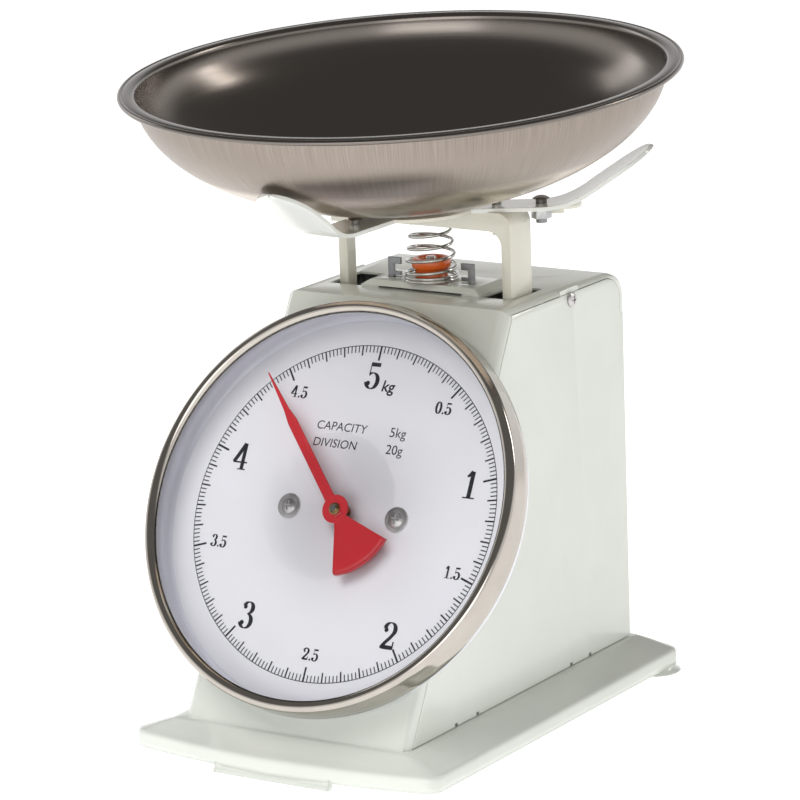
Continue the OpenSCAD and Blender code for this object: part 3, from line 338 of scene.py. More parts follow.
ink = bpy.data.materials.new("printing_ink")
ink.use_nodes = True
ink_tree = ink.node_tree
ink_shader = ink_tree.nodes["Principled BSDF"]
ink_place = ink_tree.nodes.new("ShaderNodeTexCoord")
ink_mottle = ink_tree.nodes.new("ShaderNodeTexNoise")
ink_mottle.inputs["Scale"].default_value = 900
ink_shade = ink_tree.nodes.new("ShaderNodeValToRGB")
ink_shade.color_ramp.elements[0].color = (0.006, 0.006, 0.009, 1)
ink_shade.color_ramp.elements[1].color = (0.024, 0.024, 0.032, 1)
ink_tree.links.new(ink_place.outputs["Object"], ink_mottle.inputs["Vector"])
ink_tree.links.new(ink_mottle.outputs["Fac"], ink_shade.inputs["Fac"])
ink_tree.links.new(ink_shade.outputs["Color"], ink_shader.inputs["Base Color"])
ink_shader.inputs["Roughness"].default_value = 0.5

ink_height = 0.00226
print_points, print_faces = [], []


def lay_print(flat, faces):
    """Adds a flat shape in millimetres on the dial, across and up from its centre, to the print."""
    start = sum(len(p) for p in print_points)
    flat = np.asarray(flat, float) / 1000
    place = dial_centre + flat[:, :1] * face_axes[0] + flat[:, 1:2] * up_face + ink_height * out_of_face
    print_points.append(place)
    print_faces.extend((np.asarray(faces) + start).tolist())


def bar(x0, y0, x1, y1):
    """An upright rectangle between two corners, as four points."""
    return np.array([(x0, y0), (x1, y0), (x1, y1), (x0, y1)])


# Ticks: 250 of 20 g, longer and bolder at each 100 g and again at each 500 g, hung inwards
# from a fine ring line.
tick_count = 250
mark = np.arange(tick_count)
length = np.where(mark % 25 == 0, 6.6, np.where(mark % 5 == 0, 4.6, 3.1))
half = np.where(mark % 25 == 0, 0.46, np.where(mark % 5 == 0, 0.36, 0.25))
turn = 2 * np.pi * mark / tick_count
rim_mark = 76.6
out_dir = np.stack([np.sin(turn), np.cos(turn)], -1)
side_dir = np.stack([np.cos(turn), -np.sin(turn)], -1)
corners = np.stack([
    out_dir * (rim_mark - length)[:, None] + side_dir * half[:, None],
    out_dir * (rim_mark - length)[:, None] - side_dir * half[:, None],
    out_dir * rim_mark - side_dir * half[:, None],
    out_dir * rim_mark + side_dir * half[:, None]], 1)[:, ::-1]
lay_print(corners.reshape(-1, 2), np.arange(4 * tick_count).reshape(-1, 4)[:, ::-1])
ring_steps, ring_half = 360, 0.18
ring_a = np.linspace(0, 2 * np.pi, ring_steps, endpoint=False)
ring_dir = np.stack([np.sin(ring_a), np.cos(ring_a)], -1)
ring_i = np.arange(ring_steps)
ring_next = (ring_i + 1) % ring_steps
lay_print(np.vstack([ring_dir * (rim_mark - ring_half), ring_dir * (rim_mark + ring_half)]),
          np.stack([ring_i, ring_i + ring_steps, ring_next + ring_steps, ring_next], -1))


def stroke(path, thick, thin):
    """A pen stroke along a path: half its width goes from thin where it runs level to thick
    where it runs upright, as in old bold numerals."""
    path = np.asarray(path, float)
    run = np.gradient(path, axis=0)
    run /= np.linalg.norm(run, axis=1)[:, None] + 1e-12
    half_w = (thin + (thick - thin) * np.abs(run[:, 1]) ** 1.6)[:, None] / 2
    side = np.stack([run[:, 1], -run[:, 0]], -1) * half_w
    return np.vstack([path - side, path + side]), len(path)


def arc(cx, cy, rx, ry, a0, a1, n=40):
    """Points of an ellipse from one angle in degrees to another."""
    a = np.radians(np.linspace(a0, a1, n))
    return np.stack([cx + rx * np.cos(a), cy + ry * np.sin(a)], -1)


def blob(cx, cy, r):
    """A round ball that ends a numeral's stroke."""
    return arc(cx, cy, r, r, 0, 342, 20)


def numeral(sign):
    """The strokes, bars and balls of one numeral in a box one unit high."""
    if sign == "0":
        return [("s", arc(0.29, 0.5, 0.215, 0.475, 90, 450, 60))], 0.58
    if sign == "1":
        return [("b", bar(0.2, 0, 0.37, 1)), ("s", [(0.07, 0.80), (0.14, 0.83), (0.22, 0.93), (0.27, 1.0)]),
                ("b", bar(0.04, 0, 0.53, 0.05))], 0.54
    if sign == "2":
        return [("s", arc(0.27, 0.73, 0.21, 0.245, 175, -35, 40)),
                ("s", [(0.442, 0.59), (0.33, 0.43), (0.17, 0.25), (0.07, 0.1), (0.06, 0.02)]),
                ("b", bar(0.05, 0, 0.5, 0.15)), ("b", bar(0.47, 0.02, 0.53, 0.3)),
                ("o", blob(0.115, 0.70, 0.085))], 0.56
    if sign == "3":
        return [("s", arc(0.26, 0.765, 0.185, 0.21, 165, -88, 40)),
                ("s", arc(0.25, 0.275, 0.225, 0.265, 88, -168, 44)),
                ("o", blob(0.125, 0.79, 0.08)), ("o", blob(0.105, 0.2, 0.09))], 0.56
    if sign == "4":
        return [("b", bar(0.335, 0, 0.485, 1)), ("b", bar(0.0, 0.255, 0.6, 0.315)),
                ("s", [(0.40, 1.0), (0.31, 0.82), (0.16, 0.52), (0.03, 0.285)]),
                ("b", bar(0.24, 0, 0.58, 0.045))], 0.62
    if sign == "5":
        return [("b", bar(0.1, 0.84, 0.49, 0.99)), ("b", bar(0.085, 0.48, 0.125, 0.99)),
                ("s", arc(0.25, 0.305, 0.235, 0.295, 128, -168, 48)),
                ("o", blob(0.105, 0.2, 0.09))], 0.58
    return [("o", blob(0.12, 0.07, 0.085))], 0.26


def lay_numerals(words, x, y, height, thick=0.155, thin=0.045):
    """Prints a row of numerals centred at a point in millimetres on the dial."""
    shapes = [numeral(w) for w in words]
    gap = 0.05
    left = x - height * (sum(w for _, w in shapes) + gap * (len(shapes) - 1)) / 2
    for parts, width in shapes:
        for kind, points in parts:
            if kind == "s":
                points, n = stroke(points, thick, thin)
                i = np.arange(n - 1)
                faces = np.stack([i, i + 1, i + 1 + n, i + n], -1)
                faces = faces[:, ::-1]
            else:
                faces = np.arange(len(points))[None]
            flat = np.asarray(points) * height + np.array([left, y - height / 2])
            lay_print(flat, faces)
        left += height * (width + gap)


for k in range(10):
    a = 2 * math.pi * k / 10
    whole = k % 2 == 0
    label = {0: "5"}.get(k, str(k // 2) if whole else f"{k // 2}.5")
    reach = 63.0 if whole else 64.2
    x, y = reach * math.sin(a) + 0.8, reach * math.cos(a)
    if whole:
        lay_numerals(label, x - (1.4 if k == 0 else 0), y, 12.2, thick=0.175)
    else:
        lay_numerals(label, x, y, 5.4, thick=0.20, thin=0.08)


def lay_letters(words, x, y, height, lean_right=0.0, bold=0.0):
    """Prints generic words that start at a point in millimetres on the dial."""
    curve = bpy.data.curves.new("words", "FONT")
    curve.body = words
    curve.size = height / 0.72
    curve.shear = lean_right
    curve.offset = bold
    curve.fill_mode = "FRONT"
    curve.resolution_u = 6
    letters = bpy.data.objects.new("words", curve)
    bpy.context.scene.collection.objects.link(letters)
    bpy.context.view_layer.update()
    mesh = bpy.data.meshes.new_from_object(letters)
    flat = np.array([v.co[:2] for v in mesh.vertices])
    start = sum(len(p) for p in print_points)
    shift = flat + np.array([x, y])
    place = dial_centre + shift[:, :1] / 1000 * face_axes[0] + shift[:, 1:2] / 1000 * up_face \
        + ink_height * out_of_face
    print_points.append(place)
    print_faces.extend([[i + start for i in p.vertices] for p in mesh.polygons])
    bpy.data.objects.remove(letters)
    bpy.data.curves.remove(curve)
    bpy.data.meshes.remove(mesh)


lay_letters("kg", 4.6, 56.4, 5.2, lean_right=0.12, bold=0.12)
for words, amount, row_y in (("CAPACITY", "5kg", 36.4), ("DIVISION", "20g", 28.6)):
    lay_letters(words, -24.0, row_y, 4.0, lean_right=0.08)
    lay_letters(amount, 14.2, row_y, 4.4)
print_mesh = bpy.data.meshes.new("dial_marks")
print_mesh.from_pydata(np.vstack(print_points).tolist(), [], print_faces)
print_mesh.update()
dial_marks = bpy.data.objects.new("dial_marks", print_mesh)
bpy.context.scene.collection.objects.link(dial_marks)
wear(dial_marks, ink)
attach(dial_marks, "housing")

softened("dial_screws", 0.0002, plated("dial_screw_finish", (0.88, 0.87, 0.86), rough=0.44))
wear(nodes["dial_nuts"], zinc)

# ---------------------------------------------------------------------------------------------
# Movement: plates, pillars, bushes, rack and pinion behind the leaning face. Steel is zinc
# plated, the gears and bushes are brass, the rack runs against two nylon sleeves.
# ---------------------------------------------------------------------------------------------

brass = plated("brass_finish", (0.70, 0.52, 0.22), rough=0.24)
bright = plated("bright_steel_finish", (0.72, 0.71, 0.70), rough=0.16)
nylon = enamel("nylon_finish", (0.78, 0.77, 0.72), rough=0.5, dimple=0.1)
black_rubber = enamel("rubber_finish", (0.02, 0.02, 0.02), rough=0.7, dimple=0.2, grime=0.3)
for node in ("movement_front_plate", "movement_back_plate", "movement_pillars", "rack", "rack_pin",
             "guide_bracket", "lower_yoke", "yoke_screws"):
    wear(nodes[node], zinc)
for node in ("front_bush", "back_bush", "pinion"):
    wear(nodes[node], brass)
for node in ("rack_guides", "guide_blocks"):
    wear(nodes[node], nylon)
for node in ("lens_seal", "stop_bumper"):
    wear(nodes[node], black_rubber)
wear(nodes["pointer_shaft"], bright)

# ---------------------------------------------------------------------------------------------
# Pointer: thin sheet painted red, with a needle tip, a shouldered stem and a fan-shaped tail
# whose outer edge is turned down. It is pressed on a brass boss.
# ---------------------------------------------------------------------------------------------

pointer_red = enamel("pointer_red_finish", (0.70, 0.020, 0.032), rough=0.33, dimple=0.06, grime=0.12)
reach = 77.0
rest = math.radians(41.6)
stem_y = np.concatenate([np.linspace(-4, 40, 30), np.linspace(42, 52, 12), np.linspace(53, reach, 24)])
stem_w = np.interp(stem_y, [-4, 0, 42, 49, 56, reach], [2.5, 2.45, 2.3, 2.3, 1.25, 0.18])
across = np.linspace(-1, 1, 9)
needle_flat = np.stack([across[None] * stem_w[:, None], np.repeat(stem_y[:, None], 9, 1)], -1)
needle_crown = 0.25 * (1 - across ** 2)
needle_lift = np.repeat(needle_crown[None], len(stem_y), 0) * np.clip(stem_w / 2.3, 0, 1)[:, None]
fan_r = np.concatenate([np.linspace(1.6, 27.5, 18), np.array([28.4, 29.0, 29.4, 29.5, 29.5])])
fan_drop = np.concatenate([np.zeros(18), np.array([-0.06, -0.3, -0.8, -1.6, -2.4])])
fan_a = np.radians(np.linspace(-29, 29, 33))
fan_flat = np.stack([fan_r[:, None] * np.sin(fan_a)[None], -fan_r[:, None] * np.cos(fan_a)[None]], -1)
hub_r = np.array([1.6, 3, 5, 6.2, 6.4])
hub_a = np.linspace(0, 2 * np.pi, 48, endpoint=False)
hub_flat = np.stack([hub_r[:, None] * np.cos(hub_a)[None], hub_r[:, None] * np.sin(hub_a)[None]], -1)


def pointer_sheet(name, flat, lift, closed=False):
    """A patch of the pointer's sheet: its flat shape turned to the rest angle and set 8.75 mm
    out from the face, then given its thickness."""
    x = flat[..., 0] * math.cos(rest) - flat[..., 1] * math.sin(rest)
    y = flat[..., 0] * math.sin(rest) + flat[..., 1] * math.cos(rest)
    local = np.stack([x, y, 8.75 + lift], -1) / 1000
    piece = surface(name, local @ face_axes + dial_centre, close_v=closed)
    sheet = piece.modifiers.new("sheet", "SOLIDIFY")
    sheet.thickness = 0.0006
    sheet.offset = 0
    wear(piece, pointer_red)
    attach(piece, "pointer")
    return piece


needle = pointer_sheet("pointer_needle", needle_flat, needle_lift)
pointer_sheet("pointer_fan", fan_flat[:, ::-1], np.repeat(fan_drop[:, None], 33, 1) + 0.02)
pointer_sheet("pointer_hub", hub_flat[::-1], np.full((5, 48), 0.04), closed=True)
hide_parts("pointer")
softened("pointer_boss", 0.0002, brass)

# ---------------------------------------------------------------------------------------------
# Bezel and lens: a polished stainless ring rolled over at the front holds a clear disc against
# a rubber seal. A round of clear film covers the lens's middle.
# ---------------------------------------------------------------------------------------------


def polished(name, colour, rough, streak=0.05):
    """Polished stainless: bright metal with very fine rubbing marks that change its gloss."""
    steel = bpy.data.materials.new(name)
    steel.use_nodes = True
    tree = steel.node_tree
    shader = tree.nodes["Principled BSDF"]
    shader.inputs["Metallic"].default_value = 1.0
    place = tree.nodes.new("ShaderNodeTexCoord")
    rub = tree.nodes.new("ShaderNodeTexNoise")
    rub.inputs["Scale"].default_value = 90
    rub.inputs["Detail"].default_value = 8
    shade = tree.nodes.new("ShaderNodeValToRGB")
    shade.color_ramp.elements[0].position = 0.35
    shade.color_ramp.elements[0].color = [c * 0.86 for c in colour] + [1]
    shade.color_ramp.elements[1].color = list(colour) + [1]
    gloss = tree.nodes.new("ShaderNodeMapRange")
    gloss.inputs["To Min"].default_value = rough * 0.6
    gloss.inputs["To Max"].default_value = rough * 1.7
    bump = tree.nodes.new("ShaderNodeBump")
    bump.inputs["Strength"].default_value = streak
    bump.inputs["Distance"].default_value = 0.0001
    link = tree.links.new
    link(place.outputs["Object"], rub.inputs["Vector"])
    link(rub.outputs["Fac"], shade.inputs["Fac"])
    link(rub.outputs["Fac"], gloss.inputs["Value"])
    link(rub.outputs["Fac"], bump.inputs["Height"])
    link(shade.outputs["Color"], shader.inputs["Base Color"])
    link(gloss.outputs["Result"], shader.inputs["Roughness"])
    link(bump.outputs["Normal"], shader.inputs["Normal"])
    return steel


bezel_steel = polished("bezel_finish", (0.54, 0.50, 0.455), 0.09)
roll = np.radians(np.linspace(0, 180, 25))
bezel_profile = np.vstack([
    [(0.0932, 0.0054), (0.0932, 0.009), (0.0932, 0.0135)],
    np.stack([0.0904 + 0.0028 * np.cos(roll), 0.0162 + 0.0028 * np.sin(roll)], -1),
    [(0.0878, 0.01625), (0.0918, 0.01625), (0.0922, 0.0158), (0.0922, 0.0052), (0.0924, 0.0050),
     (0.0930, 0.0050)]])
bezel = turned("bezel_ring", bezel_profile, dial_centre, face_axes, steps=256, close=True)
wear(bezel, bezel_steel)
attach(bezel, "housing")
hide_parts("bezel")


def clear_sheet(name, tint, gloss, bend=1.45):
    """Clear sheet: it lets light straight through, with a mirror gloss that grows at a slant."""
    clear = bpy.data.materials.new(name)
    clear.use_nodes = True
    tree = clear.node_tree
    tree.nodes.remove(tree.nodes["Principled BSDF"])
    through = tree.nodes.new("ShaderNodeBsdfTransparent")
    through.inputs["Color"].default_value = tint
    shine = tree.nodes.new("ShaderNodeBsdfGlossy")
    shine.inputs["Roughness"].default_value = gloss
    slant = tree.nodes.new("ShaderNodeFresnel")
    slant.inputs["IOR"].default_value = bend
    mix = tree.nodes.new("ShaderNodeMixShader")
    tree.links.new(slant.outputs["Fac"], mix.inputs["Fac"])
    tree.links.new(through.outputs["BSDF"], mix.inputs[1])
    tree.links.new(shine.outputs["BSDF"], mix.inputs[2])
    tree.links.new(mix.outputs["Shader"], tree.nodes["Material Output"].inputs["Surface"])
    return clear


wear(nodes["lens"], clear_sheet("lens_finish", (0.998, 0.998, 1.0, 1), 0.03, 1.32))
wear(nodes["lens_film"], clear_sheet("lens_film_finish", (0.996, 0.996, 0.998, 1), 0.2, 1.06))

# ---------------------------------------------------------------------------------------------
# Post frame: an inverted U folded from channel, in cream enamel, that slides in the slots of
# the top panel. It carries the cradle and is screwed to the yoke below.
# ---------------------------------------------------------------------------------------------

frame_enamel = enamel("frame_enamel_finish", (0.68, 0.665, 0.57), rough=0.2, dimple=0.05)
softened("post_frame", 0.0004, frame_enamel)

# ---------------------------------------------------------------------------------------------
# Springs: drawn steel wire. Two long springs hang from the hanger plate inside the housing,
# and a tapered one stands on the bridge round the adjusting knob, up to the cross bar.
# ---------------------------------------------------------------------------------------------


def wire(name, path, radius, finish, sides=14):
    """Round wire along a path: each ring of points stands square to the path, at the wire's
    radius, from a level direction across the path and the direction square to both."""
    path = np.asarray(path, float)
    run = np.gradient(path, axis=0)
    run /= np.linalg.norm(run, axis=1)[:, None]
    guide = np.cross(run, np.array([0.0, 0.0, 1.0]))
    guide /= np.linalg.norm(guide, axis=1)[:, None] + 1e-12
    other = np.cross(run, guide)
    a = np.linspace(0, 2 * np.pi, sides, endpoint=False)
    grid = path[:, None] + radius * (np.cos(a)[None, :, None] * guide[:, None]
                                     + np.sin(a)[None, :, None] * other[:, None])
    piece = surface(name, grid, close_v=True, cap_first=True, cap_last=True)
    wear(piece, finish)
    return piece


spring_steel = polished("spring_wire_finish", (0.60, 0.59, 0.57), 0.14)
post_y, bridge_z = 0.0205, 0.1934
all_turns, closed_turns, closed_pitch = 6, 2, 0.00135
turns = np.linspace(0, all_turns, all_turns * 48 + 1)
base_z, top_z = bridge_z + 0.0008, 0.2201 - 0.0008
closed = closed_turns * closed_pitch
coil_z = np.where(turns < closed_turns, base_z + turns * closed_pitch,
                  base_z + closed + (turns - closed_turns) / 4 * (top_z - base_z - closed))
coil_r = 0.012 - 0.0032 * (turns / all_turns) ** 1.5
coil_a = 2 * np.pi * turns + math.radians(200)
coil_path = np.stack([coil_r * np.cos(coil_a), post_y + coil_r * np.sin(coil_a), coil_z], -1)
buffer = wire("buffer_coil", coil_path, 0.00075, spring_steel)
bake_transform(buffer)
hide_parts("buffer_spring")

hang_z, hook_z, hook_r = 0.17569, 0.06814, 0.0026
for side, name in ((-1, "left"), (1, "right")):
    s = np.linspace(0, 1, 13 * 36 + 1)
    mid = (hang_z + hook_z) / 2
    low, high = mid - 0.031, mid + 0.031
    under, above = np.array([0, 0, low - 0.003]), np.array([0, 0, high + 0.003])
    a = 2 * np.pi * 13 * s
    ring = np.linspace(0, 2 * np.pi, 40)
    coil = np.stack([0.007 * np.cos(a), 0.007 * np.sin(a), low + 0.062 * s], -1)
    swing = hook_r * np.cos(ring - np.pi)
    ring_low = np.stack([0 * ring, hook_r * np.sin(ring), hook_z + hook_r - swing], -1)
    ring_high = np.stack([0 * ring, hook_r * np.sin(ring), hang_z - hook_r + swing], -1)
    ease = np.linspace(0, 1, 12)[:, None]
    path = np.vstack([
        ring_low, ring_low[-1] + (under - ring_low[-1]) * ease[1:],
        under + (coil[0] - under) * ease[1:-1],
        coil,
        coil[-1] + (above - coil[-1]) * ease[1:],
        above + (ring_high[0] - above) * ease[1:-1],
        ring_high]) + np.array([side * 0.024, post_y, 0])
    spring = wire("main_coil_" + name, path, 0.0008, spring_steel, sides=8)
    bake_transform(spring)
    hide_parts("main_spring_" + name)

# ---------------------------------------------------------------------------------------------
# Zero adjuster: an orange plastic knob turns on a threaded steel stud that stands up from the
# hanger plate. The plate's two C-shaped ears come up through the bridge beside it.
# ---------------------------------------------------------------------------------------------

softened("hanger_plate", 0.0002, plated("hanger_finish", (0.30, 0.305, 0.31), rough=0.38, scratch=0.5))
stud_foot, stud_top, thread_pitch = 0.1785, 0.2042, 0.0008
z = np.linspace(stud_foot, stud_top, 560)
thread = 0.0025 - 0.00028 * np.abs(((z - stud_foot) / thread_pitch) % 1 * 2 - 1)
stud_profile = np.vstack([
    [(0, 0.1791)], [(0.004, 0.1791), (0.004, 0.1802)], np.stack([thread, z], -1)[40:],
    [(0.0021, stud_top + 0.0001), (0, stud_top + 0.0001)]])
stud = turned("threaded_stud", stud_profile, (0, post_y, 0), steps=40)
wear(stud, bright)
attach(stud, "hanger")
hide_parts("zero_stud")

knob_plastic = enamel("knob_orange_finish", (0.78, 0.13, 0.012), rough=0.3, dimple=0.1, grime=0.15)
knob = turned("adjusting_knob", [
    (0.00256, 0.1936), (0.0072, 0.1936), (0.0079, 0.1937), (0.0080, 0.1944), (0.0076, 0.1949),
    (0.0072, 0.1952), (0.0072, 0.1990), (0.0074, 0.1994), (0.0085, 0.1996), (0.0088, 0.1999),
    (0.0088, 0.2027), (0.0086, 0.2034), (0.0081, 0.2038), (0.0064, 0.2038), (0.0058, 0.2036),
    (0.0053, 0.2030), (0.0051, 0.2021), (0.0036, 0.2020), (0.0033, 0.2026), (0.0028, 0.2027),
    (0.00256, 0.2024)], (0, post_y, 0), steps=72, close=True)
wear(knob, knob_plastic)
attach(knob, "zero_knob")
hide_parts("zero_knob")

# ---------------------------------------------------------------------------------------------
# Cradle: a three-legged plate on the cross bar and three bent strips on top of it, cream and
# off-white enamel, held by two screws, two bolts with nuts and washers, and one rivet.
# ---------------------------------------------------------------------------------------------

softened("cradle_plate", 0.0003, frame_enamel)
arm_enamel = enamel("arm_enamel_finish", (0.73, 0.75, 0.71), rough=0.16, dimple=0.04)
flat_r, bend_r, arm_reach = 0.058, 0.038, 0.1075
half_w, half_blade, slope = 0.0105, 0.0135, math.radians(33.4)
arm_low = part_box("cradle_arm_front")[0][2]
s = np.concatenate([np.linspace(0.0082, flat_r, 14), np.linspace(flat_r, arm_reach - half_blade, 44)[1:],
                    arm_reach - half_blade + half_blade * np.sin(np.radians(np.linspace(0, 88, 20)))[1:]])
bend_end = flat_r + bend_r * math.sin(slope)
lift = np.where(s < flat_r, 0, np.where(
    s < bend_end, bend_r - np.sqrt(np.maximum(bend_r ** 2 - np.clip(s - flat_r, 0, bend_r * 0.9) ** 2, 0)),
    bend_r * (1 - math.cos(slope)) + (s - bend_end) * math.tan(slope)))
w = np.interp(s, [flat_r + 0.004, 0.084], [half_w, half_blade])
w = np.where(s > arm_reach - half_blade,
             np.sqrt(np.maximum(half_blade ** 2 - (s - arm_reach + half_blade) ** 2, 0)), w)
dish = 0.0004 * np.clip((s - flat_r) / 0.02, 0, 1)
t = np.linspace(-1, 1, 17)
for node, direction in (("cradle_arm_front", -90), ("cradle_arm_right", 30), ("cradle_arm_left", 150)):
    a = math.radians(direction)
    ahead = np.array([math.cos(a), math.sin(a), 0])
    beside = np.array([-math.sin(a), math.cos(a), 0])
    rise = (arm_low + 0.0001 + lift)[:, None] - dish[:, None] * (1 - t[None] ** 2)
    grid = (s[:, None, None] * ahead + (w[:, None] * t[None])[..., None] * beside
            + np.maximum(rise, arm_low + 0.0001)[..., None] * np.array([0, 0, 1.0]) + np.array([0, 0.003, 0]))
    arm = surface(node + "_strip", grid)
    strip = arm.modifiers.new("strip", "SOLIDIFY")
    strip.thickness = 0.0018
    strip.offset = 1
    edge = arm.modifiers.new("edge", "BEVEL")
    edge.width = 0.0005
    edge.segments = 3
    edge.limit_method = "ANGLE"
    edge.angle_limit = math.radians(50)
    wear(arm, arm_enamel)
    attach(arm, "platform")
    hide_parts(node)

dark_steel = plated("dark_plate_finish", (0.30, 0.30, 0.31), rough=0.34)
softened("cradle_rivet", 0.0002, zinc)
softened("platform_screws", 0.00015, zinc)
softened("platform_nuts", 0.0002, zinc)
softened("arm_bolts", 0.00015, dark_steel)
softened("arm_washers", 0.00015, dark_steel)
softened("arm_nuts", 0.0003, plated("nut_finish", (0.50, 0.50, 0.50), rough=0.3))

# ---------------------------------------------------------------------------------------------
# Bowl: spun from thin stainless sheet, with a flat rim and a rolled edge. It has fine turning
# lines inside and out, and a darker band of upright scuffs below the rim outside.
# ---------------------------------------------------------------------------------------------

bowl_tilt = math.radians(4)
bowl_axes = np.array([[1, 0, 0], [0, math.cos(bowl_tilt), math.sin(bowl_tilt)],
                      [0, -math.sin(bowl_tilt), math.cos(bowl_tilt)]])
body_r, depth, gauge = 0.118, 0.0587, 0.0008
# The bowl's lowest point is a small gap above the cradle's plate and arms
rim_centre = np.array([0, 0, 0.2286 + 0.0015 + 0.002 + 0.00045 + depth])
around = 256
a = np.radians(np.linspace(0, 88.5, 72))
outside = np.stack([body_r * np.sin(a), -depth * np.cos(a)], -1)
inside = np.stack([(body_r - gauge) * np.sin(a), -(depth - gauge) * np.cos(a)], -1)
bead = np.radians(np.linspace(-150, 130, 24))
bead_line = np.stack([0.1238 + 0.0012 * np.cos(bead), -0.0012 + 0.0012 * np.sin(bead)], -1)
under = np.array([(0.11835, -0.0011), (0.1190, -0.00085), (0.1200, -0.0008), (0.1222, -0.0008)])
over = np.array([(0.1225, -0.00002), (0.1205, 0.0), (0.1186, -0.00005), (0.1177, -0.0004)])
outside_profile = np.vstack([outside, under, bead_line, over, inside[::-1]])
bowl = turned("weighing_bowl", outside_profile, rim_centre, bowl_axes, steps=around)

steps_along = np.linalg.norm(np.diff(outside_profile, axis=0), axis=1)
length_along = np.concatenate([[0], np.cumsum(steps_along)])
uv_layer = bowl.data.uv_layers.new(name="turning")
corner_vertex = np.zeros(len(bowl.data.loops), int)
bowl.data.loops.foreach_get("vertex_index", corner_vertex)
row, col = corner_vertex // around, corner_vertex % around
face_of = np.repeat(np.arange(len(bowl.data.polygons)), 4)
last = (face_of % around) == around - 1
u = np.where(last & (col == 0), around, col) / around
uv = np.stack([u, length_along[row]], -1)
uv_layer.data.foreach_set("uv", uv.ravel())


